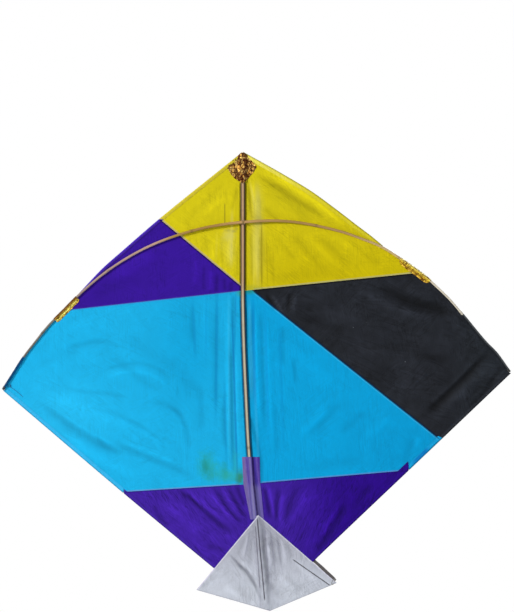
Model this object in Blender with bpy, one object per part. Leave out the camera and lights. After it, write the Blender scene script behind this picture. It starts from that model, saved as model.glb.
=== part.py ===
"""Diamond fighter kite (patang): paper sail on a bamboo spine and a bent bamboo bow.

The kite stands upright in the XZ plane. +Z runs from the tail fin to the nose, +X to the
right wing tip, and -Y is the face with the two sticks on it. The origin is on the front face
of the spine just under the bow, where the upper bridle leg is tied.
Lengths are in millimetres and scaled by MM; Blender units are metres. Outlines and lines are
(x, z) points, and a Vector made from one holds z in its .y.
"""

import math

import bmesh
import bpy
from mathutils import Vector

for old in list(bpy.data.objects):
    bpy.data.objects.remove(old, do_unlink=True)

MM = 0.001
SIGN = {"left": -1, "right": 1}     # direction of each wing along X

# ------------------------------------------------------------------ shared dimensions
GAP = 0.3                 # clearance between pieces that touch on the real kite
PAPER = 0.4               # sail and fin sheet thickness
SAIL_FRONT = 2.3          # front plane of the sail, behind the spine
SAIL_MID = SAIL_FRONT + PAPER / 2
SPAN_STEPS = 3            # curve steps between two neighbouring knots

# the spine is straight down to the middle of the sail, then bows towards the right wing
SPINE_LINE = [(0.0, 98.0), (0.0, 60.0), (0.0, 9.0), (0.0, -3.0), (0.0, -40.0), (0.0, -78.0),
              (1.3, -134.0), (3.8, -194.0), (7.8, -266.0), (16.0, -340.0), (25.9, -437.4)]
SPINE_TOP_Z = SPINE_LINE[0][1]
SPINE_TAIL_X, SPINE_TAIL_Z = SPINE_LINE[-1]

# knots of the bow, from the left tip to the right tip
BOW_LINE = [(-288.0, -186.3), (-276.5, -168.3), (-263.3, -147.6), (-248.5, -128.2),
            (-232.5, -108.6), (-214.3, -90.3), (-193.0, -69.0), (-159.4, -41.5),
            (-112.2, -14.0), (-54.6, 6.0), (0.0, 14.8), (56.6, 15.6), (115.4, 4.2),
            (142.3, -5.0), (165.6, -14.4), (189.5, -29.2), (205.0, -40.0), (219.8, -51.0),
            (232.4, -62.4), (247.3, -76.8), (263.9, -96.0), (291.3, -129.0),
            (304.0, -141.9), (320.6, -165.0)]
BOW_R_MID, BOW_R_TIP = 1.75, 1.2
BOW_TAPER = 300.0         # distance from the middle at which the tip radius is reached
BOW_LIFT = 0.5            # gap between the bow and the spine it crosses
BOW_DROP_START, BOW_DROP_SPAN = 12.0, 110.0    # stretch where the bow drops to the sail

# paper sleeve on each bow end: where it starts and ends along X
SLEEVE = {"left": (-263.0, -286.0), "right": (264.0, 318.4)}

# ------------------------------------------------------------------ colours
BAMBOO = (0.48, 0.34, 0.19)
STIFFENER_BAMBOO = (0.20, 0.17, 0.15)
LASHING_THREAD = (0.55, 0.47, 0.33)
YELLOW = (0.66, 0.57, 0.012)
PURPLE = (0.047, 0.012, 0.36)
STRIP_PURPLE = (0.14, 0.09, 0.40)
CYAN = (0.02, 0.43, 0.82)
BLACK = (0.018, 0.021, 0.028)
SILVER = (0.56, 0.58, 0.64)
GOLD = (0.72, 0.42, 0.05)
HEM_YELLOW = (0.6, 0.52, 0.05)
LOWER_HEM_COLOR = {"left": (0.04, 0.35, 0.6), "right": (0.03, 0.03, 0.06)}
SLEEVE_COLOR = {"left": (0.01, 0.06, 0.16), "right": BLACK}
BINDING_COLOR = {"left": (0.02, 0.03, 0.07), "right": (0.02, 0.02, 0.02)}


# ------------------------------------------------------------------ plane geometry helpers
def blend(start, end, t_start, t_end, t):
    """The point at t on the line that is at start at t_start and at end at t_end."""
    span = t_end - t_start
    return start * ((t_end - t) / span) + end * ((t - t_start) / span)


def through(knots):
    """Points of a centripetal Catmull-Rom curve through 2-D knots."""
    k = [Vector(p) for p in knots]
    k = [2 * k[0] - k[1]] + k + [2 * k[-1] - k[-2]]
    points = []
    for i in range(1, len(k) - 2):
        p0, p1, p2, p3 = k[i - 1:i + 3]
        t0 = 0.0
        t1 = t0 + math.sqrt((p1 - p0).length)
        t2 = t1 + math.sqrt((p2 - p1).length)
        t3 = t2 + math.sqrt((p3 - p2).length)
        for step in range(SPAN_STEPS):
            t = t1 + (t2 - t1) * step / SPAN_STEPS
            a1 = blend(p0, p1, t0, t1, t)
            a2 = blend(p1, p2, t1, t2, t)
            a3 = blend(p2, p3, t2, t3, t)
            b1 = blend(a1, a2, t0, t2, t)
            b2 = blend(a2, a3, t1, t3, t)
            points.append(blend(b1, b2, t1, t2, t))
    points.append(k[-2])
    return points


def value_at(line, x, key=0):
    """The other coordinate of a polyline where its coordinate key equals x."""
    pairs = sorted((p[key], p[1 - key]) for p in line)
    if x <= pairs[0][0]:
        (x0, y0), (x1, y1) = pairs[:2]
    elif x >= pairs[-1][0]:
        (x0, y0), (x1, y1) = pairs[-2:]
    else:
        for (x0, y0), (x1, y1) in zip(pairs, pairs[1:]):
            if x0 <= x <= x1:
                break
    return y0 + (y1 - y0) * (x - x0) / (x1 - x0)


def between(line, x0, x1):
    """The stretch of a polyline from x0 to x1, in that direction."""
    margin = 0.2          # points this close to either end are dropped
    low, high = min(x0, x1), max(x0, x1)
    inner = [p for p in line if low + margin < p.x < high - margin]
    inner.sort(key=lambda p: p.x, reverse=x1 < x0)
    return [Vector((x0, value_at(line, x0)))] + inner + [Vector((x1, value_at(line, x1)))]


def left_normal(start, end):
    """Unit normal on the left of the direction from start to end, seen from the front."""
    along = (end - start).normalized()
    return Vector((-along.y, along.x))


def shifted(line, distance):
    """A polyline moved towards the left of its direction."""
    last = len(line) - 1
    return [p + distance * left_normal(line[max(i - 1, 0)], line[min(i + 1, last)])
            for i, p in enumerate(line)]


def keep(outline, seam, above):
    """The part of a closed outline above or below a seam, half a gap short of it."""
    merge = 0.05          # neighbouring points closer than this become one
    start, end = Vector(seam[0]), Vector(seam[1])
    normal = left_normal(start, end)
    if not above:
        normal = -normal
    cut = []
    for i, p in enumerate(outline):
        q = outline[(i + 1) % len(outline)]
        p_depth = (p - start).dot(normal) - GAP / 2
        q_depth = (q - start).dot(normal) - GAP / 2
        if p_depth >= 0:
            cut.append(p)
        if (p_depth > 0 > q_depth) or (p_depth < 0 < q_depth):
            cut.append(p + (q - p) * (p_depth / (p_depth - q_depth)))
    tidy = []
    for p in cut:
        if not tidy or (p - tidy[-1]).length > merge:
            tidy.append(p)
    if (tidy[0] - tidy[-1]).length < merge:
        tidy.pop()
    return tidy


def line_x(start, end, z):
    return start[0] + (end[0] - start[0]) * (z - start[1]) / (end[1] - start[1])


def line_z(start, end, x):
    return start[1] + (end[1] - start[1]) * (x - start[0]) / (end[0] - start[0])


# ------------------------------------------------------------------ spine and bow curves
spine_curve = through(SPINE_LINE)
bow_curve = through(BOW_LINE)


def spine_x(z):
    return value_at(spine_curve, z, key=1)


def bow_radius(x):
    return BOW_R_MID + (BOW_R_TIP - BOW_R_MID) * min(abs(x) / BOW_TAPER, 1.0)


def bow_y(x):
    """The bow stands over the spine in the middle and lies on the sail further out."""
    s = min(max((abs(x) - BOW_DROP_START) / BOW_DROP_SPAN, 0.0), 1.0)
    s = s * s * (3 - 2 * s)
    radius = bow_radius(x)
    return (1 - s) * -(BOW_LIFT + radius) + s * (SAIL_FRONT - GAP - radius)


def bow_path(x0, x1):
    return [Vector((p.x, bow_y(p.x), p.y)) for p in between(bow_curve, x0, x1)]


# ------------------------------------------------------------------ materials and objects
def material(name, color, roughness, metallic):
    mat = bpy.data.materials.new(name)
    mat.use_nodes = True
    shader = mat.node_tree.nodes["Principled BSDF"]
    shader.inputs["Base Color"].default_value = (*color, 1.0)
    shader.inputs["Roughness"].default_value = roughness
    shader.inputs["Metallic"].default_value = metallic
    mat.diffuse_color = (*color, 1.0)
    return mat


def build(name, bm, color, roughness, metallic=0.0, smooth=False):
    """Turn a bmesh in millimetres into a scene object with its own material."""
    bmesh.ops.recalc_face_normals(bm, faces=bm.faces)
    for v in bm.verts:
        v.co = v.co * MM
    mesh = bpy.data.meshes.new(name)
    bm.to_mesh(mesh)
    bm.free()
    obj = bpy.data.objects.new(name, mesh)
    bpy.context.scene.collection.objects.link(obj)
    mesh.materials.append(material(name + "_mat", color, roughness, metallic))
    if smooth:
        mesh.shade_smooth()
        mesh.set_sharp_from_angle(angle=math.radians(40))


def prism(name, corners, offset, color, roughness):
    """A flat face of 3-D corners extruded by offset."""
    bm = bmesh.new()
    face = bm.faces.new([bm.verts.new(p) for p in corners])
    grown = bmesh.ops.extrude_face_region(bm, geom=[face])
    moved = [g for g in grown["geom"] if isinstance(g, bmesh.types.BMVert)]
    bmesh.ops.translate(bm, verts=moved, vec=offset)
    build(name, bm, color, roughness)


def plate(name, outline, y_front, thickness, color, roughness):
    """An outline in the XZ plane extruded back along +Y."""
    corners = [(x, y_front, z) for x, z in outline]
    prism(name, corners, (0, thickness, 0), color, roughness)


def rings(path):
    """Point, in-plane normal and back direction at each station of a 3-D path."""
    out = []
    for i, p in enumerate(path):
        along = (path[min(i + 1, len(path) - 1)] - path[max(i - 1, 0)]).normalized()
        normal = along.cross(Vector((0, 1, 0))).normalized()
        out.append((p, normal, normal.cross(along).normalized()))
    return out


def circles(path, radius_at, sides, phase):
    """A circle of points round each station; phase turns it by that part of one side."""
    angles = [2 * math.pi * (k + phase) / sides for k in range(sides)]
    return [[p + radius_at(p.x) * (math.cos(a) * normal + math.sin(a) * back) for a in angles]
            for p, normal, back in rings(path)]


def bridge(bm, first, second):
    """Join two equal closed rows of vertices with quads."""
    for i in range(len(first)):
        j = (i + 1) % len(first)
        bm.faces.new((first[i], first[j], second[j], second[i]))


def loft(bm, loops, capped=True):
    """Bridge equal closed loops of points, with a cap on each end if wanted."""
    rows = [[bm.verts.new(p) for p in loop] for loop in loops]
    for first, second in zip(rows, rows[1:]):
        bridge(bm, first, second)
    if capped:
        bm.faces.new(rows[0])
        bm.faces.new(rows[-1])
    return rows


def rod(name, path, radius_at, color, sides, roughness):
    """A round stick or cord along a path; radius_at gives the radius at x."""
    bm = bmesh.new()
    loft(bm, circles(path, radius_at, sides, phase=0.5))
    build(name, bm, color, roughness, smooth=True)


def tube(name, path, inner_at, outer_at, color, roughness, sides=14):
    """A sleeve open at both ends along a path."""
    bm = bmesh.new()
    inner, outer = [loft(bm, circles(path, radius_at, sides, phase=0), capped=False)
                    for radius_at in (inner_at, outer_at)]
    for end in (0, -1):
        bridge(bm, inner[end], outer[end])
    build(name, bm, color, roughness, smooth=True)


def sheet(name, grid, thickness, color, roughness, metallic=0.0):
    """A bent sheet from a grid of front points, thickened back along +Y."""
    bm = bmesh.new()
    behind = Vector((0, thickness, 0))
    front = [[bm.verts.new(p) for p in row] for row in grid]
    back = [[bm.verts.new(p + behind) for p in row] for row in grid]
    rows, cols = len(grid), len(grid[0])
    for i in range(rows - 1):
        for j in range(cols - 1):
            for skin in (front, back):
                bm.faces.new((skin[i][j], skin[i][j + 1], skin[i + 1][j + 1], skin[i + 1][j]))
    for i in range(rows - 1):
        for j in (0, cols - 1):
            bm.faces.new((front[i][j], front[i + 1][j], back[i + 1][j], back[i][j]))
    for j in range(cols - 1):
        for i in (0, rows - 1):
            bm.faces.new((front[i][j], back[i][j], back[i][j + 1], front[i][j + 1]))
    build(name, bm, color, roughness, metallic)


# ------------------------------------------------------------------ spine
SPINE_W, SPINE_T = 5.2, 1.8
SPINE_TAIL_SCALE = 0.86   # width at the tail end against the width at the top
SPINE_STATIONS = [z for _, z in SPINE_LINE[:6]] + [
    -106, -134, -164, -194, -206, -230, -266, -303, -340, -372, -405, SPINE_TAIL_Z]


def build_spine():
    half = SPINE_W / 2
    # (x, y) section: flat front for the ties, rounded shoulders, flat back
    profile = [(-1.5, 0.0), (1.5, 0.0), (half - 0.2, 0.55), (half, 1.1), (half - 0.3, SPINE_T),
               (-half + 0.3, SPINE_T), (-half, 1.1), (-half + 0.2, 0.55)]
    loops = []
    for z in SPINE_STATIONS:
        drop = (SPINE_TOP_Z - z) / (SPINE_TOP_Z - SPINE_TAIL_Z)
        scale = 1 + (SPINE_TAIL_SCALE - 1) * drop
        loops.append([Vector((spine_x(z) + x * scale, y, z)) for x, y in profile])
    bm = bmesh.new()
    loft(bm, loops)
    build("spine", bm, BAMBOO, roughness=0.55)


build_spine()

# ------------------------------------------------------------------ bow: middle and two halves
BOW_CENTRE_HALF = 4.3     # half length of the middle stretch, held under the lashing
BOW_HALF_START = BOW_CENTRE_HALF + GAP


def build_bow():
    stretches = {"centre": (-BOW_CENTRE_HALF, BOW_CENTRE_HALF),
                 "left": (-BOW_HALF_START, BOW_LINE[0][0]),
                 "right": (BOW_HALF_START, BOW_LINE[-1][0])}
    for part, stretch in stretches.items():
        rod("bow_" + part, bow_path(*stretch), bow_radius, BAMBOO, sides=10, roughness=0.5)


build_bow()

# ------------------------------------------------------------------ bow lashing
LASHING_HALF = 1.2        # half width along X
LASHING_R_IN, LASHING_R_OUT = BOW_R_MID + 0.4, BOW_R_MID + 0.9
LASHING_FOOT = 5.5        # reach of the feet above and below the bow
LASHING_FOOT_FRONT = -0.8


def build_lashing():
    """Thread lashing that holds the bow down on the spine: an arch with a foot each way."""
    bow_z = value_at(bow_curve, 0.0)
    arc = [math.radians(a) for a in range(-90, 91, 18)]

    def arch(radius, angles):
        return [(bow_y(0.0) - radius * math.cos(a), bow_z + radius * math.sin(a))
                for a in angles]

    # (y, z) outline
    outline = arch(LASHING_R_OUT, arc)
    outline += [(LASHING_FOOT_FRONT, bow_z + LASHING_R_OUT),
                (LASHING_FOOT_FRONT, bow_z + LASHING_FOOT),
                (-GAP, bow_z + LASHING_FOOT), (-GAP, bow_z + LASHING_R_IN)]
    outline += arch(LASHING_R_IN, reversed(arc))
    outline += [(-GAP, bow_z - LASHING_R_IN), (-GAP, bow_z - LASHING_FOOT),
                (LASHING_FOOT_FRONT, bow_z - LASHING_FOOT),
                (LASHING_FOOT_FRONT, bow_z - LASHING_R_OUT)]
    corners = [(-LASHING_HALF, y, z) for y, z in outline]
    prism("bow_lashing", corners, (2 * LASHING_HALF, 0, 0), LASHING_THREAD, roughness=0.85)


build_lashing()

# ------------------------------------------------------------------ hem cords
CORD_R = 0.4              # thread folded into the hems
# knots of each hem: the upper ones run outwards from the nose, the lower ones down from the tip
HEM_UPPER = {
    "left": [(-1.4, 97.9), (-99.0, 18.9), (-144.2, -20.2), (-176.3, -49.2), (-190.0, -62.0)],
    "right": [(1.4, 98.0), (21.3, 86.9), (48.0, 71.8), (82.0, 51.3), (115.5, 26.8),
              (136.0, 11.0), (153.0, -1.8), (159.5, -7.6)]}
HEM_LOWER = {
    "left": [(-285.0, -188.5), (-143.2, -309.6), (-35.3, -399.2), (-13.0, -417.4)],
    "right": [(318.5, -168.5), (239.0, -244.4), (86.6, -389.6), (58.8, -417.4)]}


def cord(name, knots, color):
    path = [Vector((x, SAIL_MID, z)) for x, z in through(knots)]
    rod(name, path, lambda x: CORD_R, color, sides=8, roughness=0.9)


for side in SIGN:
    cord("hem_cord_upper_" + side, HEM_UPPER[side], HEM_YELLOW)
    cord("hem_cord_lower_" + side, HEM_LOWER[side], LOWER_HEM_COLOR[side])

# ------------------------------------------------------------------ sail panels
SPLIT = 1.3               # half the slot between left and right sheets, hidden by the spine
SAIL_END_Z = -418.0       # the sail stops here, under the fin
HEM_INSET = CORD_R + GAP
SLEEVE_INSET = 2.0        # sail edge inside the bow's centre line along the sleeve
SLEEVE_LEAD = 0.6         # the edge leaves the bow this far before the sleeve
BOW_JOIN_X = {"left": -192.0, "right": 163.5}      # the edge runs on the bow from here
SAIL_TIP_X = {"left": -283.4, "right": 315.6}
SPINE_EDGE_ZS = [SAIL_END_Z, -395.0, -372.0, -340.0, -303.0, -266.0, -230.0, -194.0, -164.0,
                 -134.0, -106.0, -78.0]

# straight glued seams, each as two points, left to right
SEAM_YELLOW_PURPLE = ((-99.8, 18.7), (-2.9, -61.3))
SEAM_PURPLE_CYAN = ((-213.0, -91.0), (-2.8, -67.6))
SEAM_YELLOW_BLACK = ((13.1, -66.3), (205.0, -46.5))
SEAM_BLACK_CYAN = ((13.1, -68.4), (236.0, -245.4))
SEAM_CYAN_PURPLE_L = ((-143.2, -309.0), (-4.8, -300.4))
SEAM_CYAN_PURPLE_R = ((22.8, -298.1), (204.0, -282.6))
ABOVE, BELOW = True, False

# panel name, half of the sail, seams that bound it, colour
PANELS = [
    ("sail_yellow_left", "left", [(SEAM_YELLOW_PURPLE, ABOVE)], YELLOW),
    ("sail_purple_upper", "left",
     [(SEAM_YELLOW_PURPLE, BELOW), (SEAM_PURPLE_CYAN, ABOVE)], PURPLE),
    ("sail_cyan_left", "left",
     [(SEAM_PURPLE_CYAN, BELOW), (SEAM_CYAN_PURPLE_L, ABOVE)], CYAN),
    ("sail_purple_lower_left", "left", [(SEAM_CYAN_PURPLE_L, BELOW)], PURPLE),
    ("sail_yellow_right", "right", [(SEAM_YELLOW_BLACK, ABOVE)], YELLOW),
    ("sail_black", "right", [(SEAM_YELLOW_BLACK, BELOW), (SEAM_BLACK_CYAN, ABOVE)], BLACK),
    ("sail_cyan_right", "right",
     [(SEAM_YELLOW_BLACK, BELOW), (SEAM_BLACK_CYAN, BELOW), (SEAM_CYAN_PURPLE_R, ABOVE)], CYAN),
    ("sail_purple_lower_right", "right", [(SEAM_CYAN_PURPLE_R, BELOW)], PURPLE),
]


def half_sail(side):
    """Closed outline of one half of the sail, from the nose round the tip and up the spine."""
    sign = SIGN[side]
    sleeve_start = SLEEVE[side][0]
    upper = shifted(through(HEM_UPPER[side]), -sign * HEM_INSET)
    lower = shifted(through(HEM_LOWER[side]), -sign * HEM_INSET)
    nose_x = sign * SPLIT
    outline = [Vector((nose_x, value_at(upper, nose_x)))]
    outline += [p for p in upper if abs(p.x) > SPLIT + 0.5]
    outline += between(bow_curve, BOW_JOIN_X[side], sleeve_start - sign * SLEEVE_LEAD)
    outline += shifted(between(bow_curve, sleeve_start, SAIL_TIP_X[side]), -sign * SLEEVE_INSET)
    low = [p for p in lower if p.y > SAIL_END_Z + 0.3]
    if (low[0] - outline[-1]).length < 0.3:
        low = low[1:]
    outline += low
    outline.append(Vector((low[-1].x, SAIL_END_Z)))
    outline += [Vector((spine_x(z) + sign * SPLIT, z)) for z in SPINE_EDGE_ZS]
    return outline


def build_panels():
    for name, side, seams, color in PANELS:
        outline = half_sail(side)
        for seam, above in seams:
            outline = keep(outline, seam, above)
        plate(name, outline, SAIL_FRONT, PAPER, color, roughness=0.7)


build_panels()

# ------------------------------------------------------------------ paper sleeves, tip bindings
SLEEVE_WALL = 0.4
BINDING_LEN = 1.7
BINDING_OFFSET = 0.25             # from the outer end of the sleeve
BINDING_IN, BINDING_OUT = 0.2, 0.9     # inner and outer skin above the bow's surface


def build_sleeve(side):
    tube("bow_sleeve_" + side, bow_path(*SLEEVE[side]),
         lambda x: bow_radius(x) + GAP, lambda x: bow_radius(x) + GAP + SLEEVE_WALL,
         SLEEVE_COLOR[side], roughness=0.8)


def build_binding(side):
    start = SLEEVE[side][1] + SIGN[side] * BINDING_OFFSET
    tube("tip_binding_" + side, bow_path(start, start + SIGN[side] * BINDING_LEN),
         lambda x: bow_radius(x) + BINDING_IN, lambda x: bow_radius(x) + BINDING_OUT,
         BINDING_COLOR[side], roughness=0.9)


# ------------------------------------------------------------------ foil patches on the bow
BOW_PATCH = {"left": (-199.5, -226.0), "right": (189.5, 225.0)}     # start and end along X
PATCH_FLANGE = 5.5        # reach of the flap from the bow's centre line
FOIL = 0.4


def build_bow_patch(side):
    """Foil folded over the front of the bow, with a flap on the sail."""
    arc = [math.radians(a) for a in range(-108, 91, 22)]
    behind = Vector((0, 1, 0))
    loops = []
    for p, normal, _ in rings(bow_path(*BOW_PATCH[side])):
        inward = normal if normal.z < 0 else -normal
        r_in = bow_radius(p.x) + GAP
        r_out = r_in + FOIL
        flap_back = SAIL_FRONT - GAP - p.y
        flap_front = flap_back - FOIL
        # (inward, back) distances from the bow's centre line
        profile = [(r_out * math.sin(a), -r_out * math.cos(a)) for a in arc]
        profile += [(r_out, flap_front), (PATCH_FLANGE, flap_front),
                    (PATCH_FLANGE, flap_back), (r_in, flap_back)]
        profile += [(r_in * math.sin(a), -r_in * math.cos(a)) for a in reversed(arc)]
        loops.append([p + u * inward + v * behind for u, v in profile])
    bm = bmesh.new()
    loft(bm, loops)
    build("bow_patch_" + side, bm, GOLD, roughness=0.3, metallic=0.9)


for side in SIGN:
    build_sleeve(side)
    build_binding(side)
    build_bow_patch(side)

# ------------------------------------------------------------------ sheets draped over the spine
DRAPE_T = 0.4
DRAPE_HIGH = -0.7         # front plane over the spine
DRAPE_FLAT, DRAPE_OUT = 3.2, 7.0       # the slope starts and ends this far from the centre
DRAPE_US = [-DRAPE_OUT, -DRAPE_FLAT, 0.0, DRAPE_FLAT, DRAPE_OUT]

NOSE_PATCH_L, NOSE_PATCH_R = 18.4, 15.8      # side corners of the foil diamond
NOSE_PATCH_TOP, NOSE_PATCH_MID, NOSE_PATCH_BOTTOM = 96.8, 80.3, 61.3
NOSE_PATCH_BLUNT = 0.8    # the side corners are cut off this far from their points
NOSE_PATCH_LOW = 1.2      # front plane beside the spine

STRIP_TOP, STRIP_BOTTOM, STRIP_HALF = -267.6, -336.4, 9.8
STRIP_LOW = 1.4           # front plane beside the spine
STRIP_STEPS = 6


def over_spine(u, low):
    """Front surface of a sheet draped over the spine, by distance from its centre line."""
    s = min(max((abs(u) - DRAPE_FLAT) / (DRAPE_OUT - DRAPE_FLAT), 0.0), 1.0)
    return DRAPE_HIGH + (low - DRAPE_HIGH) * s


def build_nose_patch():
    grid = []
    for t in (0.0, 1 / 3, 2 / 3, 1.0):
        row = []
        for x in (-NOSE_PATCH_L, -11.0, *DRAPE_US, 11.0, NOSE_PATCH_R):
            s = abs(x) / ((NOSE_PATCH_L if x < 0 else NOSE_PATCH_R) + NOSE_PATCH_BLUNT)
            top = NOSE_PATCH_TOP + (NOSE_PATCH_MID - NOSE_PATCH_TOP) * s
            bottom = NOSE_PATCH_BOTTOM + (NOSE_PATCH_MID - NOSE_PATCH_BOTTOM) * s
            row.append(Vector((x, over_spine(x, NOSE_PATCH_LOW), top + (bottom - top) * t)))
        grid.append(row)
    sheet("nose_patch", grid, DRAPE_T, GOLD, roughness=0.3, metallic=0.9)


def build_strip():
    grid = []
    for i in range(STRIP_STEPS + 1):
        z = STRIP_TOP + (STRIP_BOTTOM - STRIP_TOP) * i / STRIP_STEPS
        grid.append([Vector((spine_x(z) + u, over_spine(u, STRIP_LOW), z))
                     for u in (-STRIP_HALF, *DRAPE_US, STRIP_HALF)])
    sheet("spine_strip", grid, DRAPE_T, STRIP_PURPLE, roughness=0.6)


build_nose_patch()
build_strip()

# ------------------------------------------------------------------ tail fin
FIN_APEX = (18.7, -336.6)
FIN_LEFT = (-55.7, -426.6)
FIN_BOTTOM = (32.6, -451.8)
FIN_RIGHT = (112.8, -418.2)
FIN_FOLD_HALF = 3.0              # half width of the fold that is pasted over the spine
FIN_SIDE_START = FIN_FOLD_HALF + GAP
FIN_FOLD_PLANE = -0.8            # front plane of the fold
FIN_PLANE = 0.2                  # front plane of the fin's side parts
FIN_FOOT_Z = -449.0              # height at which the lower ends of the inner edges are placed
FIN_ZS = [-345.0, -355.0, -372.0, -390.0, -405.0, -420.0, -437.0]
FIN_FOLD_TOP = [(18.2, -337.2), (19.3, -337.2), (20.2, -337.9)]


def beside_spine(offset, heights):
    return [(spine_x(z) + offset, z) for z in heights]


def on_left_edge(z):
    return (line_x(FIN_APEX, FIN_LEFT, z), z)


def on_lower_edge(offset):
    x = spine_x(FIN_FOOT_Z) + offset
    return (x, line_z(FIN_LEFT, FIN_BOTTOM, x))


def build_fin():
    fold = [*FIN_FOLD_TOP, *beside_spine(FIN_FOLD_HALF, FIN_ZS),
            on_lower_edge(FIN_FOLD_HALF), on_lower_edge(-FIN_FOLD_HALF),
            *beside_spine(-FIN_FOLD_HALF, reversed(FIN_ZS)), on_left_edge(-342.0)]
    left_part = [on_left_edge(-345.5), FIN_LEFT, on_lower_edge(-FIN_SIDE_START),
                 *beside_spine(-FIN_SIDE_START, [*reversed(FIN_ZS[1:]), -348.0])]
    right_part = [*beside_spine(FIN_SIDE_START, [-340.5, *FIN_ZS]),
                  on_lower_edge(FIN_SIDE_START), FIN_BOTTOM, FIN_RIGHT,
                  (line_x(FIN_APEX, FIN_RIGHT, -339.5), -339.5)]
    plate("tail_fin_fold", fold, FIN_FOLD_PLANE, PAPER, SILVER, roughness=0.65)
    plate("tail_fin_left", left_part, FIN_PLANE, PAPER, SILVER, roughness=0.65)
    plate("tail_fin_right", right_part, FIN_PLANE, PAPER, SILVER, roughness=0.65)


build_fin()

# ------------------------------------------------------------------ fin stiffeners
STIFFENER_W, STIFFENER_T = 2.6, 1.0
STIFFENER_FRONT = SAIL_FRONT + PAPER + 0.5
STIFFENER_TAPER = 2           # length of the tapered outer end
STIFFENER_END_SCALE = 0.7     # width of that end against the full width
STIFFENERS = {"left": ((-2.0, -365.0), (-51.6, -424.6)),
              "right": ((50.0, -363.0), (111.5, -415.4))}


def build_stiffener(side):
    """A flat bamboo splint on the back of the fin."""
    start, end = [Vector(p) for p in STIFFENERS[side]]
    shoulder = end - (end - start).normalized() * STIFFENER_TAPER
    half = left_normal(start, end) * STIFFENER_W / 2
    end_half = half * STIFFENER_END_SCALE
    outline = [start - half, start + half, shoulder + half, end + end_half, end - end_half,
               shoulder - half]
    plate("fin_stiffener_" + side, outline, STIFFENER_FRONT, STIFFENER_T, STIFFENER_BAMBOO,
          roughness=0.7)


for side in SIGN:
    build_stiffener(side)

# ------------------------------------------------------------------ hinge lines and wings
HINGE_TOP = Vector((0.0, SAIL_MID, 99.0))
HINGES = {"left": (HINGE_TOP, Vector((SPINE_TAIL_X, SAIL_MID, SPINE_TAIL_Z))),
          "right": (Vector((0.0, SAIL_MID, SPINE_TAIL_Z)), HINGE_TOP)}
# pieces that both wings have, named with the side at the end, and the one only each has
WING_PIECES = ["sail_yellow", "sail_cyan", "sail_purple_lower", "bow", "bow_sleeve",
               "tip_binding", "bow_patch", "hem_cord_upper", "hem_cord_lower", "tail_fin",
               "fin_stiffener"]
OWN_PANEL = {"left": "sail_purple_upper", "right": "sail_black"}


def group_wing(side):
    """Parent one wing's pieces, left in place, to an empty whose Z runs along the hinge."""
    start, end = HINGES[side]
    pivot = bpy.data.objects.new(side + "_wing_pivot", None)
    bpy.context.scene.collection.objects.link(pivot)
    pivot.location = start * MM
    pivot.rotation_mode = "QUATERNION"
    pivot.rotation_quaternion = (end - start).normalized().to_track_quat("Z", "Y")
    bpy.context.view_layer.update()
    for name in [OWN_PANEL[side]] + [f"{piece}_{side}" for piece in WING_PIECES]:
        child = bpy.data.objects[name]
        child.parent = pivot
        child.matrix_parent_inverse = pivot.matrix_world.inverted()


for side in SIGN:
    group_wing(side)
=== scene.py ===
# A diamond fighter kite of coloured paper on a bamboo spine and a bent bamboo bow.
# Lengths are millimetres: x to the right wing, y backwards (the sticks are in front of the
# sail), z up to the nose. The bow crosses the spine near the origin.
import math

import bpy
import numpy as np
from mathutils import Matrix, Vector, geometry, noise
from numpy.linalg import norm


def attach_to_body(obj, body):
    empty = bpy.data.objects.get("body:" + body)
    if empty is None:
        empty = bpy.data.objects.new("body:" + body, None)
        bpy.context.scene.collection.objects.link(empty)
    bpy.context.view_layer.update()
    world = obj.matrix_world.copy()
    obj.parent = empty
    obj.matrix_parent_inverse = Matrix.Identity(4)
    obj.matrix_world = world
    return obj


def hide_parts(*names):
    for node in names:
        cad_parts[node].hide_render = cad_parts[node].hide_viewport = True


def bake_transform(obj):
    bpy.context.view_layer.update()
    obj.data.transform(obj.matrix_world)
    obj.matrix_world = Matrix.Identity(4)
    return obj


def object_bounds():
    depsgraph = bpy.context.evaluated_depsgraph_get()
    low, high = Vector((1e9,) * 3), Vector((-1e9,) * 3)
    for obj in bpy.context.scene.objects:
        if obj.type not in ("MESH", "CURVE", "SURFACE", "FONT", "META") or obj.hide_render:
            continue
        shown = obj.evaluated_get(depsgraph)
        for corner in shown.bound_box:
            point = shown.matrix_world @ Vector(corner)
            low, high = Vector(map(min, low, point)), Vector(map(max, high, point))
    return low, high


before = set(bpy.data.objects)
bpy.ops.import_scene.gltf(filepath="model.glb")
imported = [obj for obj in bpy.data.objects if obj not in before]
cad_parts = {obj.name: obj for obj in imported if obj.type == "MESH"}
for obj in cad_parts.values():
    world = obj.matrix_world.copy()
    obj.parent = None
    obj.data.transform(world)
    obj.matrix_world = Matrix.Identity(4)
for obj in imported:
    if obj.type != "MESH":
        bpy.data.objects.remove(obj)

CAD_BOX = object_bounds()
MM = 0.001
SPACING = 1.8      # mesh size of the sheets

SAIL = 2.3                                # y of the sail's front at rest
SAIL_END = -418                           # z where the sail stops behind the fin
FRONT, BEHIND = 0.0, 0.24                 # y offsets of the lapped papers
LAP = 4.0                                 # how far a rear paper runs under its neighbour
BOW_R_MID, BOW_R_TIP = 1.75, 1.2

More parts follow.
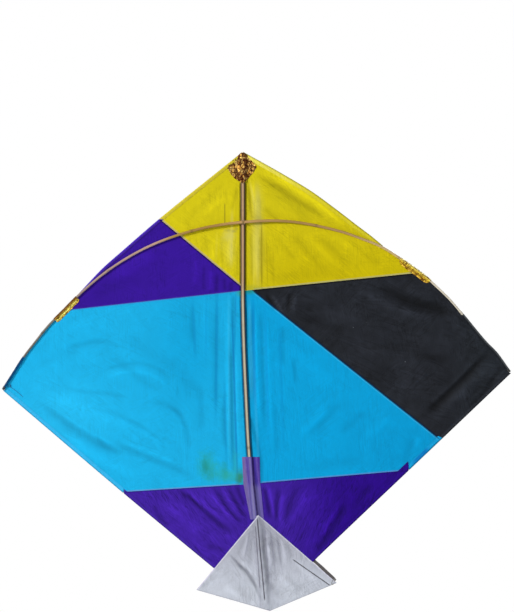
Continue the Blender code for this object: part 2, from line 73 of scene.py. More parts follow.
# Curves and outlines: (x, z)
SPINE_LINE = [(0, 98), (0, 60), (0, 9), (0, -3), (0, -40), (0, -78), (1.3, -134), (3.8, -194),
              (7.8, -266), (16, -340), (25.9, -437.4)]
BOW_LINE = [(-288, -186.3), (-276.5, -168.3), (-263.3, -147.6), (-248.5, -128.2),
            (-232.5, -108.6), (-214.3, -90.3), (-193, -69), (-159.4, -41.5), (-112.2, -14),
            (-54.6, 6), (0, 14.8), (56.6, 15.6), (115.4, 4.2), (142.3, -5), (165.6, -14.4),
            (189.5, -29.2), (205, -40), (219.8, -51), (232.4, -62.4), (247.3, -76.8),
            (263.9, -96), (291.3, -129), (304, -141.9), (320.6, -165)]
# Hems: upper and lower, left and right
HEM_UL = [(0, 98.6), (-99, 18.9), (-144.2, -20.2), (-166.7, -40), (-182.6, -56.4),
          (-190, -64.4), (-199, -74)]
HEM_UR = [(0, 98.6), (21.3, 86.9), (48, 71.8), (82, 51.3), (115.5, 26.8), (136, 11),
          (153, -1.8), (160, -7.5), (167.8, -14.2)]
HEM_LL = [(-287.2, -186.9), (-143.2, -309.6), (-35.3, -399.2), (-13, -417.4)]
HEM_LR = [(321.4, -165.9), (239, -244.4), (86.6, -389.6), (58.8, -417.4)]
# Seams between papers: two ends
YELLOW_PURPLE = ((-99.8, 18.7), (-2.9, -61.3))
PURPLE_CYAN = ((-213, -91), (-2.8, -67.6))
YELLOW_BLACK = ((13.1, -66.3), (205, -46.5))
BLACK_CYAN = ((13.1, -68.4), (236, -245.4))
CYAN_PURPLE_L = ((-143.2, -309), (-4.8, -300.4))
CYAN_PURPLE_R = ((22.8, -298.1), (204, -282.6))
# Stretches of the bow, in x: paper sleeves at the tips, gold foil further in
SLEEVE_L, SLEEVE_R = (-263.0, -286.0), (264.0, 318.4)
PATCH_L, PATCH_R = (-199.5, -226.0), (189.5, 225.0)
FIN_APEX, FIN_LEFT = (18.7, -336.6), (-55.7, -426.6)
FIN_BOTTOM, FIN_RIGHT = (32.6, -451.8), (112.8, -418.2)
FIN_HEM_L, FIN_HEM_R = -32.4, 82.2        # x where the tail hems end, just under the fin

# Folds in the paper, one per line:
# width, depth (+ is backwards), shade, 1 to fade at both ends, then x and z of each point
FOLDS = {
    "yellow_left": """
2.2 .25 -.07 1 -5 58.2 -9.4 41.4 -12.4 27
2 .2 -.05 1 -3.4 -6.6 -5.8 -33 -4.6 -54.6
3 -.25 .07 1 -14.2 -1.8 -16 -18.6 -14.2 -35.4
2.4 -.2 .05 1 -33.4 -1.8 -35.2 -17.4 -33.4 -33
2.2 .2 -.05 1 -23.8 .6 -25 -18.6 -22.6 -40.2
2.2 .2 -.05 1 -44.2 3 -44.2 -10.2 -40.6 -23.4
3.5 .2 -.04 1 -17.8 65.4 -37 46.2 -56.2 28.2
3 -.2 .04 1 -20.2 46.2 -34.6 34.2 -46.6 19.8
4.5 .3 -.03 1 -52.6 35.4 -63.4 15 -68.2 3
2.2 -.2 .05 1 -8.2 46.2 -8.2 27 -7.6 17.4""",
    "yellow_right": """
3.6 .7 -.15 1 13.4 75 32.6 61.8 51.8 51 68.6 39 87.8 27 104.6 12.6
7 .3 -.06 1 23 60.6 44.6 48.6 66.2 31.8 90.2 12.6
3.4 -.5 .1 1 18.2 82.2 44.6 66.6 68.6 52.2 92.6 35.4 116.6 16.2 131 4.2
3 -.3 .06 1 11 66.6 13.4 53.4 17 39 19.4 22.2
2.6 .3 -.08 1 8 60.6 8.6 41.4 8.6 19.8
3.2 .3 -.07 1 25.4 35.4 35 24.6 48.2 16.2
4 .3 -.06 1 57.8 4.2 75.8 -17.4 101 -45
4 .3 -.06 1 87.8 .6 110.6 -18.6 132.2 -39
3 .3 -.06 1 39.8 -3 51.8 -16.2 66.2 -33
4 .3 -.05 1 128.6 -13.8 147.8 -24.6 169.4 -37.8
3.2 -.3 .05 1 71 3 95 -18.6 116.6 -40.2
3 -.25 .05 1 104.6 3 131 -16.2 153.8 -33
2.4 .25 -.09 1 23 10.2 22.4 -18.6 23 -61.8
2 -.25 .06 1 17.6 10.2 17 -18.6 17.6 -61.8
2 .25 -.08 1 9.8 10.2 11 -24.6 12.2 -63
2.4 .2 -.05 1 32.6 -6.6 33.8 -33 38.6 -59.4
9 .4 -.05 1 23 -54.6 68.6 -49.8 122.6 -40.2""",
    "purple_upper": """
3 .25 -.1 0 -13 -59.4 -14.2 -67.8
2.2 .25 -.12 1 -29.8 -45 -31 -58.2 -31 -71.4
2.2 .25 -.1 1 -21.4 -49.8 -21.4 -61.8 -20.8 -69
2.2 .2 -.08 1 -45.4 -33 -46.6 -52.2 -46.6 -71.4
2.6 -.2 .08 1 -38.2 -40.2 -38.2 -57 -38.8 -71.4
2.6 -.2 .06 1 -56.2 -25.8 -56.2 -45 -58.6 -66.6
8 .4 -.04 1 -183.4 -76.2 -147.4 -60.6 -111.4 -54.6
8 -.4 .05 1 -159.4 -54.6 -123.4 -33 -93.4 -18.6""",
    "cyan_left": """
4.4 .55 -.08 1 -255.4 -192.6 -229 -211.8 -206.2 -229.8 -171.4 -251.4 -142.6 -265.8
2.4 -.4 .05 1 -248.2 -191.4 -221.8 -211.8 -195.4 -229.8 -166.6 -246.6 -140.2 -258.6
9 .5 -.04 1 -243.4 -201 -212.2 -225 -176.2 -249 -142.6 -265.8
3 .5 -.07 1 -178.6 -239.4 -164.2 -253.8 -140.2 -264.6
4.2 .55 -.08 1 -161.8 -246.6 -137.8 -257.4 -119.8 -264.6 -93.4 -275.4 -75.4 -282.6 -52.6 -297
2.4 -.4 .05 1 -149.8 -246.6 -119.8 -258.6 -92.2 -269.4 -70.6 -279
2.6 .4 -.06 1 -190.6 -205.8 -166.6 -210.6 -137.8 -221.4 -111.4 -237 -87.4 -258.6
3 .4 -.05 1 -219.4 -141 -190.6 -131.4 -166.6 -129 -145 -133.8
2.6 .4 -.05 1 -176.2 -167.4 -147.4 -157.8 -121 -155.4 -99.4 -162.6 -80.2 -179.4
2.8 -.35 .045 1 -171.4 -174.6 -145 -166.2 -121 -165 -101.8 -172.2 -85 -187.8
3 .4 -.055 1 -87.4 -201 -73 -217.8 -65.8 -239.4 -63.4 -261
2.6 .35 -.05 1 -219.4 -181.8 -190.6 -189 -159.4 -191.4 -130.6 -198.6
7 -.7 .05 1 -219.4 -237 -183.4 -261 -147.4 -280.2 -111.4 -292.2
8 -.6 .04 1 -243.4 -189 -195.4 -204.6 -147.4 -225 -111.4 -244.2
4.5 .4 -.05 1 -161.8 -145.8 -137.8 -160.2 -116.2 -178.2 -93.4 -189
3.5 .4 -.06 1 -111.4 -201 -92.2 -203.4 -80.2 -211.8 -68.2 -223.8
5 -.4 .04 1 -123.4 -232.2 -105.4 -244.2 -95.8 -261
2.8 .6 -.16 1 -13.6 -114.6 -13 -150.6 -12.4 -198.6 -11.8 -246.6 -9.4 -282.6 -5.8 -301.8
2.2 .4 -.1 1 -10 -66.6 -10.6 -90.6 -11.8 -120.6
3.6 .4 -.08 1 -31 -73.8 -31 -114.6 -31.6 -162.6 -32.2 -216.6
2.5 .4 -.09 1 -22.6 -192.6 -22 -228.6 -21.4 -261
2.5 -.4 .06 1 -17.2 -78.6 -17.8 -138.6 -17.2 -198.6 -16.6 -258.6
3 -.4 .06 1 -7 -132.6 -7 -186.6 -5.8 -234.6 -3.4 -264.6
3.5 .4 -.07 1 -61 -83.4 -59.2 -114.6 -57.4 -136.2
3.5 -.3 .05 1 -45.4 -76.2 -44.2 -114.6 -43 -150.6
4 .3 -.04 1 -51.4 -174.6 -49 -210.6 -47.8 -246.6
5 -.3 .03 1 -219.4 -120.6 -197.8 -111 -173.8 -105
5 .3 -.03 1 -262.6 -165 -219.4 -147 -176.2 -129 -147.4 -117
9 .5 -.04 1 -149.8 -114.6 -111.4 -141 -75.4 -165 -45.4 -201""",
    "cyan_right": """
2.6 .5 -.14 0 9.8 -222.6 14 -237 18.2 -250.2 22.4 -277.8 23 -297
2.4 .5 -.13 1 11 -78.6 11 -126.6 11.6 -174.6 12.2 -213
2 -.4 .08 1 15.8 -84.6 16.4 -132.6 18.2 -186.6 21.8 -234.6
2.6 .4 -.08 1 21.8 -78.6 23.6 -126.6 25.4 -186.6 27.8 -246.6
3 -.3 .06 1 29 -93 30.2 -138.6 32.6 -198.6 35 -258.6
3 .3 -.06 1 48.2 -105 48.8 -132.6 49.4 -162.6
3 .3 -.06 1 63.2 -144.6 63.2 -162.6 63.8 -181.8
3 .3 -.05 1 39.8 -198.6 41 -234.6 42.2 -273
5 .4 -.06 1 75.8 -241.8 90.2 -231 104.6 -217.8 120.2 -199.8
5 -.4 .05 1 66.2 -243 85.4 -227.4 104.6 -208.2
5 .4 -.05 1 116.6 -238.2 135.8 -223.8 150.2 -210.6
5 -.4 .04 1 147.8 -244.2 169.4 -227.4 179 -215.4
5 .4 -.04 1 207.8 -241.8 200.6 -258.6 193.4 -280.2
4 -.3 .05 1 212.6 -241.8 207.8 -256.2
7 .4 -.04 1 68.6 -282.6 110.6 -275.4 152.6 -268.2
9 -.5 .03 1 50.6 -126.6 80.6 -156.6 116.6 -186.6""",
    "black": """
6.5 1 -.3 1 155 -55.8 176.6 -69 200.6 -79.8 231.8 -88.8 258.2 -100.2
5 -.8 .12 1 131 -61.8 155 -73.8 179 -85.8 206.6 -95.4 234.2 -105
5 -.6 .08 1 193.4 -61.8 212.6 -71.4 233 -82.2
4.2 .9 -.3 1 303.8 -132.6 294.2 -143.4 282.2 -154.2 267.8 -169.8 251 -186.6 231.8 -204.6 210.2 -223.8
5 -.8 .1 1 301.4 -150.6 291.8 -163.8 277.4 -175.8 258.2 -193.8 243.8 -210.6 229.4 -227.4
2.2 -.5 .12 1 289.4 -142.2 275 -156.6 258.2 -173.4 241.4 -189 224.6 -204.6
2.4 .4 -.12 1 312.2 -157.8 301.4 -172.2 289.4 -184.2
2.4 .4 -.12 1 289.4 -179.4 277.4 -191.4 265.4 -203.4
3.5 .5 -.14 1 308.6 -165 294.2 -184.2 277.4 -201 263 -213
2.4 .4 -.25 1 26.6 -70.2 32.6 -78.6 41 -91.8
2.4 -.3 .16 1 33.8 -70.2 41 -81 49.4 -95.4
2.6 .4 -.22 1 57.2 -67.8 55.4 -78.6 54.2 -93
2.6 -.3 .14 1 65 -67.8 62.6 -81 60.2 -96.6
6 .5 -.12 1 68.6 -97.8 104.6 -109.8 131 -121.8
6 -.5 .06 1 80.6 -84.6 116.6 -95.4 152.6 -109.8 188.6 -124.2
4 -.4 .07 1 135.8 -138.6 157.4 -141 179 -143.4
8 -.6 .05 1 194.6 -114.6 230.6 -126.6 260.6 -138.6
6 .5 -.12 1 164.6 -129 200.6 -138.6 236.6 -150.6 260.6 -153
5 -.4 .06 1 236.6 -93 258.2 -109.8 272.6 -129""",
    "purple_lower_left": """
3.2 .7 -.24 1 -81.4 -303 -57.4 -321 -32.2 -343.8 -7 -361.8
2.6 .5 -.2 1 -34.6 -301.8 -22.6 -321 -11.8 -336.6 5 -349.8
2.4 .5 -.22 1 -19 -300.6 -8.2 -321 -1 -333 8.6 -343.8
2.4 .4 -.2 1 -7.6 -299.4 -3.4 -311.4 3.8 -328.2
3 -.5 .14 1 -70.6 -304.2 -47.8 -323.4 -22.6 -343.8
3 -.4 .12 1 -44.2 -303 -26.2 -327 -3.4 -348.6
2.4 -.4 .12 1 -26.2 -301.8 -14.2 -322.2 .2 -341.4
3 .3 -.12 1 -107.8 -323.4 -99.4 -339 -87.4 -352.2
3 .3 -.12 1 -45.4 -371.4 -32.2 -376.2 -17.8 -379.8
5 -.4 .08 1 -99.4 -318.6 -69.4 -342.6 -45.4 -366.6""",
    "purple_lower_right": """
2.4 .5 -.24 1 25.4 -299.4 29 -318.6 33.8 -342.6
2.4 -.4 .14 1 30.8 -299.4 35 -321 38.6 -342.6
2.6 .4 -.2 1 43.4 -301.8 41 -322.2 41 -347.4
2.4 -.4 .14 1 50.6 -309 45.8 -328.2 44.6 -347.4
3 .4 -.16 1 68.6 -299.4 57.8 -322.2 49.4 -347.4
3 -.3 .1 1 78.2 -306.6 67.4 -328.2 59 -349.8
4 .6 -.18 1 127.4 -318.6 114.2 -340.2 102.2 -361.8 84.2 -385.8
3.6 -.5 .14 1 119 -321 105.8 -342.6 92.6 -365.4
4 .4 -.12 1 157.4 -297 143 -313.8 128.6 -330.6
7 -.4 .08 1 68.6 -342.6 80.6 -318.6 92.6 -304.2""",
    "fin_left": """
2.6 .5 -.14 1 -12.4 -387.6 -3.4 -397.8 3.8 -403.8 11 -414.6 17 -424.2
3.2 -.5 .08 1 -3.4 -393 5 -397.8 12.2 -409.8
3 .3 -.08 1 13.4 -347.4 11 -366.6 8.6 -385.8 11 -402.6
2.6 .3 -.07 1 3.8 -360.6 -2.2 -376.2 -8.2 -388.2
3 -.3 .05 1 8.6 -357 3.8 -376.2 .2 -390.6
2.6 .3 -.06 1 -26.2 -405 -38.2 -415.8 -51.4 -424.2
4 -.3 .05 1 -20.2 -397.8 -32.2 -412.2 -44.2 -424.2
4 .3 -.05 1 -9.4 -420.6 3.8 -433.8 14.6 -441
4 -.3 .05 1 -25 -420.6 -8.2 -431.4 3.8 -438.6""",
    "fin_right": """
2.2 .5 -.16 1 23 -349.8 25.4 -378.6 29 -408.6 30.2 -438.6
2.2 -.4 .08 1 27.8 -354.6 31.4 -381 35 -407.4
2.4 .4 -.12 1 32.6 -357 37.4 -381 41 -402.6
2.2 .4 -.1 1 41 -361.8 44.6 -378.6 45.8 -397.8
2.4 -.3 .07 1 45.8 -364.2 49.4 -381 51.8 -397.8
2.6 .4 -.1 1 50.6 -367.8 56.6 -381 59 -390.6
3.4 -.4 .07 1 56.6 -385.8 68.6 -397.8 83 -411 95 -419.4
3.4 .4 -.08 1 32.6 -414.6 39.8 -429 49.4 -438.6
3 .3 -.06 1 49.4 -408.6 61.4 -419.4 75.8 -429
4 -.3 .05 1 39.8 -405 54.2 -419.4 66.2 -430.2""",
}
FIN_FOLDS = ("fin_left", "fin_right")
# gains on the depth and the shade of each kind of paper's folds
FOLD_GAINS = {"yellow": (1.3, 2.2), "cyan": (1.3, 2.2), "purple": (1.5, 2.8),
              "black": (1.5, 3.2), "fin": (1.4, 2.2)}


# ------------------------------------------------------------------ curves
def distances(line):
    """Distance along a line at each of its points."""
    return np.r_[0, np.cumsum(norm(np.diff(line, axis=0), axis=1))]


def tangents(line):
    steps = np.gradient(line, axis=0)
    return steps / np.maximum(norm(steps, axis=1), 1e-9)[:, None]


def lerp(start, end, start_time, end_time, time):
    span = end_time - start_time
    return start * ((end_time - time) / span) + end * ((time - start_time) / span)


def through(knots, step=2.5):
    """Points about step apart along a centripetal Catmull-Rom curve through (x, z) knots."""
    knots = [np.array(knot, float) for knot in knots]
    knots = [2 * knots[0] - knots[1]] + knots + [2 * knots[-1] - knots[-2]]
    points = []
    for i in range(1, len(knots) - 2):
        four = knots[i - 1:i + 3]
        times = [0.0]
        for j in range(3):
            times.append(times[-1] + math.sqrt(norm(four[j + 1] - four[j])))
        count = max(1, int(round(norm(four[2] - four[1]) / step)))
        for k in range(count):
            time = times[1] + (times[2] - times[1]) * k / count
            row = four
            for reach in (1, 2):
                row = [lerp(row[j], row[j + 1], times[j], times[j + reach], time)
                       for j in range(4 - reach)]
            points.append(lerp(*row, times[1], times[2], time))
    points.append(knots[-2])
    return np.array(points)


def resample(line, step):
    line = np.asarray(line, float)
    along = distances(line)
    count = max(2, int(round(along[-1] / step)) + 1)
    stations = np.linspace(0, along[-1], count)
    return np.column_stack([np.interp(stations, along, column) for column in line.T])


def between(line, start, end, margin=0.1):
    """A curve from x = start to x = end; its own points stay margin clear of both."""
    line = line[np.argsort(line[:, 0])]
    low, high = sorted((start, end))
    inner = line[(line[:, 0] > low + margin) & (line[:, 0] < high - margin)]
    if end < start:
        inner = inner[::-1]
    ends = [[x, np.interp(x, line[:, 0], line[:, 1])] for x in (start, end)]
    return np.vstack([ends[:1], inner, ends[1:]])


def normals(line):
    """Unit vectors to the left of travel in the sail plane."""
    along = tangents(line)
    return np.column_stack([-along[:, 1], along[:, 0]])


def keep(outline, seam, above, gap=0.0):
    """The part of an outline above or below a seam; a negative gap keeps some beyond it."""
    start, end = np.array(seam[0]), np.array(seam[1])
    along = (end - start) / norm(end - start)
    across = np.array([-along[1], along[0]]) * (1 if above else -1)
    points = []
    for i, point in enumerate(outline):
        following = outline[(i + 1) % len(outline)]
        here, there = (point - start) @ across - gap, (following - start) @ across - gap
        if here >= 0:
            points.append(point)
        if (here > 0 > there) or (here < 0 < there):
            points.append(point + (following - point) * (here / (here - there)))
    tidy = [points[0]]
    for point in points[1:]:
        if norm(point - tidy[-1]) > 0.05:
            tidy.append(point)
    if norm(tidy[0] - tidy[-1]) < 0.05:
        tidy.pop()
    return np.array(tidy)


spine_curve = through(SPINE_LINE, 4.0)
bow_curve = through(BOW_LINE)
hem_ul, hem_ur, hem_ll, hem_lr = [through(knots) for knots in (HEM_UL, HEM_UR, HEM_LL, HEM_LR)]


def smooth01(t):
    t = np.clip(t, 0.0, 1.0)
    return t * t * (3 - 2 * t)


def bell(value, centre, width):
    return np.exp(-((value - centre) / width) ** 2)


def spine_x(z):
    return np.interp(z, spine_curve[::-1, 1], spine_curve[::-1, 0])


def from_spine(points):
    """x measured from the spine's middle line."""
    return points[:, 0] - spine_x(points[:, 1])


def bow_z(x):
    return np.interp(x, bow_curve[:, 0], bow_curve[:, 1])


def bow_radius(x):
    return BOW_R_MID + (BOW_R_TIP - BOW_R_MID) * np.minimum(np.abs(x) / 300, 1.0)


def bow_y(x):
    """The bow passes in front of the spine, then drops back to the sail on both sides."""
    share = smooth01((np.abs(x) - 12) / 110)
    radius = bow_radius(x)
    return (1 - share) * -(0.5 + radius) + share * (SAIL - 0.3 - radius)


def bow_path(start, end, step):
    """A stretch of the bow in 3-D, with its two cross directions (in the sail plane, and y)."""
    flat = resample(between(bow_curve, start, end), step)
    path = np.column_stack([flat[:, 0], bow_y(flat[:, 0]), flat[:, 1]])
    along = tangents(path)
    lateral = np.cross(along, np.array([0.0, 1.0, 0.0]))
    lateral /= norm(lateral, axis=1)[:, None]
    return path, lateral, np.cross(lateral, along)


def toward_sail(lateral):
    """Lateral directions turned to point down, from the bow into the sail."""
    return lateral * np.where(lateral[:, 2:3] < 0, 1.0, -1.0)


def near(points, line):
    """Distance from points to a polyline, the share along it, and the signed side."""
    line = np.asarray(line, float)
    edges = np.diff(line, axis=0)
    lengths = norm(edges, axis=1)
    starts = distances(line)
    best = np.full(len(points), 1e9)
    share = np.zeros(len(points))
    side = np.zeros(len(points))
    for i, (start, edge, length) in enumerate(zip(line[:-1], edges, lengths)):
        offset = points - start
        t = np.clip(offset @ edge / (length * length), 0, 1)
        away = offset - t[:, None] * edge
        distance = np.hypot(away[:, 0], away[:, 1])
        closer = distance < best
        best[closer] = distance[closer]
        share[closer] = (starts[i] + t[closer] * length) / starts[-1]
        side[closer] = np.sign(edge[0] * offset[closer, 1] - edge[1] * offset[closer, 0])
    return best, share, side


# ------------------------------------------------------------------ relief of the paper
def lumps(points, size, seed):
    """Smooth noise from -1 to 1 at the given size."""
    return np.array([noise.noise((p[0] / size, p[1] / size, seed)) for p in points])


def crinkle(points, size, amount, seed):
    """Sharp-edged dents: folded noise, as foil and stiff paper crumple."""
    coarse = np.abs(lumps(points, size, seed))
    fine = np.abs(lumps(points / size * 2.1, 1, seed + 4))
    return amount * (1.6 * coarse + 0.8 * fine - 0.6)


def read_folds(name, table):
    """Rows of width, depth, shade, fade and an even line."""
    depth_gain, shade_gain = FOLD_GAINS[name.split("_")[0]]
    rows = []
    for text in table.split("\n")[1:]:
        width, depth, shade, fade, *path = map(float, text.split())
        line = resample(through(np.reshape(path, (-1, 2)), 6.0), 6.0)
        rows.append((width, depth_gain * depth, shade_gain * shade, fade, line))
    return rows


fold_lines = {name: read_folds(name, table) for name, table in FOLDS.items()}


def folds(points, names):
    """Depth and shade from the named groups of folds, at points in the sail plane."""
    depth = np.zeros(len(points))
    shade = np.zeros(len(points))
    for name in names:
        for width, fold_depth, fold_shade, fade, line in fold_lines[name]:
            low, high = line.min(0) - 3 * width, line.max(0) + 3 * width
            close = np.where(((points >= low) & (points <= high)).all(1))[0]
            if not len(close):
                continue
            distance, share, _ = near(points[close], line)
            weight = bell(distance, 0, width)
            if fade:
                weight *= smooth01(share / 0.25) * smooth01((1 - share) / 0.25)
            depth[close] += fold_depth * weight
            shade[close] += fold_shade * weight
    return depth, shade


SAIL_FOLDS = [name for name in FOLDS if name not in FIN_FOLDS]


def sail_depth(points):
    """Backward offset of the sail and the shade of its folds."""
    depth, shade = folds(points, SAIL_FOLDS)
    depth += 0.45 * lumps(points, 70, 3) + 0.16 * lumps(points, 22, 7)
    depth += 0.07 * lumps(points * np.array([1.0, 0.55]), 8, 11)
    shade += 0.035 * lumps(points, 30, 5) + 0.03 * lumps(points, 11, 9)
    # the paper lies behind the spine and the bow
    from_bow = points[:, 1] - bow_z(points[:, 0])
    for distance, floor in ((from_spine(points), -0.25), (from_bow, -0.12)):
        free = smooth01((np.abs(distance) - 3) / 6)
        depth = depth * free + np.maximum(depth, floor) * (1 - free)
    return depth, shade


# ------------------------------------------------------------------ mesh building
def lin(tint):
    """sRGB 0-255 to linear."""
    tint = np.asarray(tint, float) / 255.0
    return np.where(tint <= 0.04045, tint / 12.92, ((tint + 0.055) / 1.055) ** 2.4)


wing_pieces = []


def attach(obj, slot, side, *nodes):
    """Hides the frame nodes a piece replaces; a spine piece goes onto the spine's body, a wing piece
    onto the list of wing pieces with its side. slot is not used.
    """
    if nodes:
        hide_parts(*nodes)
    if side == "spine":
        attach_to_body(obj, "spine_frame")
    else:
        wing_pieces.append((obj, side))


def add_object(name, verts, faces, zone, material, grain=None, angle=38):
    """A mesh object from millimetre points, with the attributes its material reads."""
    verts = np.asarray(verts, float)
    mesh = bpy.data.meshes.new(name)
    mesh.from_pydata((verts * MM).tolist(), [], faces)
    mesh.update()
    rest = mesh.attributes.new("rest_co", "FLOAT_VECTOR", "POINT")
    rest.data.foreach_set("vector", verts.astype(np.float32).ravel())
    zone = np.broadcast_to(np.asarray(zone, float), (len(verts), 3))
    rgba = np.concatenate([np.clip(zone, 0, 1), np.ones((len(verts), 1))], 1)
    attribute = mesh.attributes.new("zone", "FLOAT_COLOR", "POINT")
    attribute.data.foreach_set("color", rgba.astype(np.float32).ravel())
    if grain is not None:
        attribute = mesh.attributes.new("grain", "FLOAT_VECTOR", "POINT")
        attribute.data.foreach_set("vector", np.asarray(grain, np.float32).ravel())
    mesh.materials.append(material)
    mesh.shade_smooth()
    mesh.set_sharp_from_angle(angle=math.radians(angle))
    obj = bpy.data.objects.new(name, mesh)
    bpy.context.scene.collection.objects.link(obj)
    return obj


def inside(points, ring):
    hit = np.zeros(len(points), bool)
    x, z = points[:, 0], points[:, 1]
    for (x0, z0), (x1, z1) in zip(ring, np.roll(ring, 1, axis=0)):
        if z0 != z1:
            crosses = (z0 > z) != (z1 > z)
            hit ^= crosses & (x < (x1 - x0) * (z - z0) / (z1 - z0) + x0)
    return hit


def rib_points(names, spacing):
    """Points along the ridge and both flanks of each fold."""
    rows = [np.empty((0, 2))]
    for name in names:
        for width, _, _, _, line in fold_lines[name]:
            line = resample(line, spacing * 0.8)
            for k in (0.0, 0.45, -0.45, 1.0, -1.0, 1.7, -1.7):
                rows.append(line + k * width * normals(line))
    return np.vstack(rows)


def triangulate(outline, spacing, ribs):
    """Even triangles inside a closed outline: points and counter-clockwise faces."""
    ring = []
    for i, start in enumerate(outline):
        edge = outline[(i + 1) % len(outline)] - start
        parts = max(1, int(math.ceil(norm(edge) / spacing)))
        ring += [start + edge * k / parts for k in range(parts)]
    ring = np.array(ring)
    low, high = ring.min(0), ring.max(0)
    grid = []
    for row, z in enumerate(np.arange(low[1], high[1], spacing * 0.866)):
        xs = np.arange(low[0] + (spacing / 2 if row % 2 else 0), high[0], spacing)
        grid.append(np.column_stack([xs, np.full(len(xs), z)]))
    grid = np.concatenate(grid)
    grid += np.random.default_rng(5).uniform(-0.18, 0.18, grid.shape) * spacing

    # rows of points along the folds take the place of the even ones
    cell = spacing * 0.5
    taken = {}

    def cell_of(point):
        return math.floor(point[0] / cell), math.floor(point[1] / cell)

    def is_free(point, reach):
        column, row = cell_of(point)
        around = [taken.get((column + i, row + j)) for i in (-1, 0, 1) for j in (-1, 0, 1)]
        return all(other is None or
                   math.hypot(other[0] - point[0], other[1] - point[1]) > reach
                   for other in around)

    chosen = []
    for point in ribs:
        if is_free(point, cell * 0.8):
            taken[cell_of(point)] = point
            chosen.append(point)
    grid = np.array(chosen + [point for point in grid if is_free(point, cell)])
    grid = grid[inside(grid, ring)]
    grid = grid[near(grid, np.vstack([ring, ring[:1]]))[0] > spacing * 0.5]
    points = np.vstack([ring, grid])
    result = geometry.delaunay_2d_cdt([Vector(p) for p in points], [],
                                      [list(range(len(ring)))], 1, 1e-4, False)
    co = np.array([tuple(v) for v in result[0]])
    # leave out flat slivers along straight edges, and what lies between hull and outline
    middles = np.array([co[list(face)].mean(0) for face in result[2]])
    triangles = []
    for face, within in zip(result[2], inside(middles, ring)):
        if not within:
            continue
        a, b, c = co[face[0]], co[face[1]], co[face[2]]
        area = (b[0] - a[0]) * (c[1] - a[1]) - (b[1] - a[1]) * (c[0] - a[0])
        longest = max(np.hypot(*(b - a)), np.hypot(*(c - b)), np.hypot(*(a - c)))
        if abs(area) >= 0.01 * longest:
            triangles.append(tuple(face) if area > 0 else (face[0], face[2], face[1]))
    return co, triangles


def close_sheet(front, back, triangles):
    """One closed skin from a front and a back layer that share their triangles."""
    n = len(front)
    # an ordered set of directed edges; those without a twin form the rim
    edges = dict.fromkeys(edge for a, b, c in triangles for edge in ((a, b), (b, c), (c, a)))
    faces = list(triangles) + [(a + n, c + n, b + n) for a, b, c in triangles]
    faces += [(a, a + n, b + n, b) for a, b in edges if (b, a) not in edges]
    return np.vstack([front, back]), faces


def paper_sheet(name, outline, material, colour, surface, thick=0.16, spacing=SPACING, groups=()):
    """A thin closed sheet; surface(points) gives the front y and the shade of each point."""
    outline = np.asarray(outline, float)
    ribs = rib_points(groups, spacing)
    ribs = ribs[((ribs > outline.min(0)) & (ribs < outline.max(0))).all(1)]
    co, triangles = triangulate(outline, spacing, ribs)
    y, shade = surface(co)
    front = np.column_stack([co[:, 0], y, co[:, 1]])
    verts, faces = close_sheet(front, front + np.array([0, thick, 0]), triangles)
    zone = [colour(co) * np.exp(gain * shade)[:, None] for gain in (1, -0.5)]
    return add_object(name, verts, faces, np.vstack(zone), material)


def loft(name, loops, material, zone, grain=None, angle=50):
    """Bridges equal closed loops and caps the ends; one zone and grain row per point."""
    loops = np.asarray(loops, float)
    n, m = loops.shape[:2]
    faces = []
    for i in range(n - 1):
        for j in range(m):
            k = (j + 1) % m
            faces.append((i * m + j, i * m + k, (i + 1) * m + k, (i + 1) * m + j))
    faces.append(tuple(range(m))[::-1])
    faces.append(tuple((n - 1) * m + j for j in range(m)))
    verts = loops.reshape(-1, 3)
    # turn the skin outwards
    volume = 0.0
    for face in faces:
        for k in range(1, len(face) - 1):
            volume += np.dot(verts[face[0]], np.cross(verts[face[k]], verts[face[k + 1]]))
    if volume < 0:
        faces = [face[::-1] for face in faces]
    if grain is not None:
        grain = np.asarray(grain, float).reshape(-1, 3)
    zone = np.asarray(zone, float).reshape(-1, 3)
    return add_object(name, verts, faces, zone, material, grain, angle)


def cord(name, path, radius, material, tint, sides):
    """A thread along a path, with its length and turns kept for the material."""
    path = np.asarray(path, float)
    forward = tangents(path)
    across = np.cross(forward[0], [0.3, 1.0, 0.2])
    along = distances(path)
    turn = 2 * math.pi * np.arange(sides) / sides
    loops, grain = [], []
    for i, centre in enumerate(path):
        across = across - forward[i] * (across @ forward[i])
        across /= norm(across)
        up = np.cross(forward[i], across)
        loops.append(centre + radius * (np.cos(turn)[:, None] * across
                                        + np.sin(turn)[:, None] * up))
        grain.append(np.column_stack([np.full(sides, along[i]), turn, np.zeros(sides)]))
    return loft(name, loops, material, lin(tint), grain, angle=60)


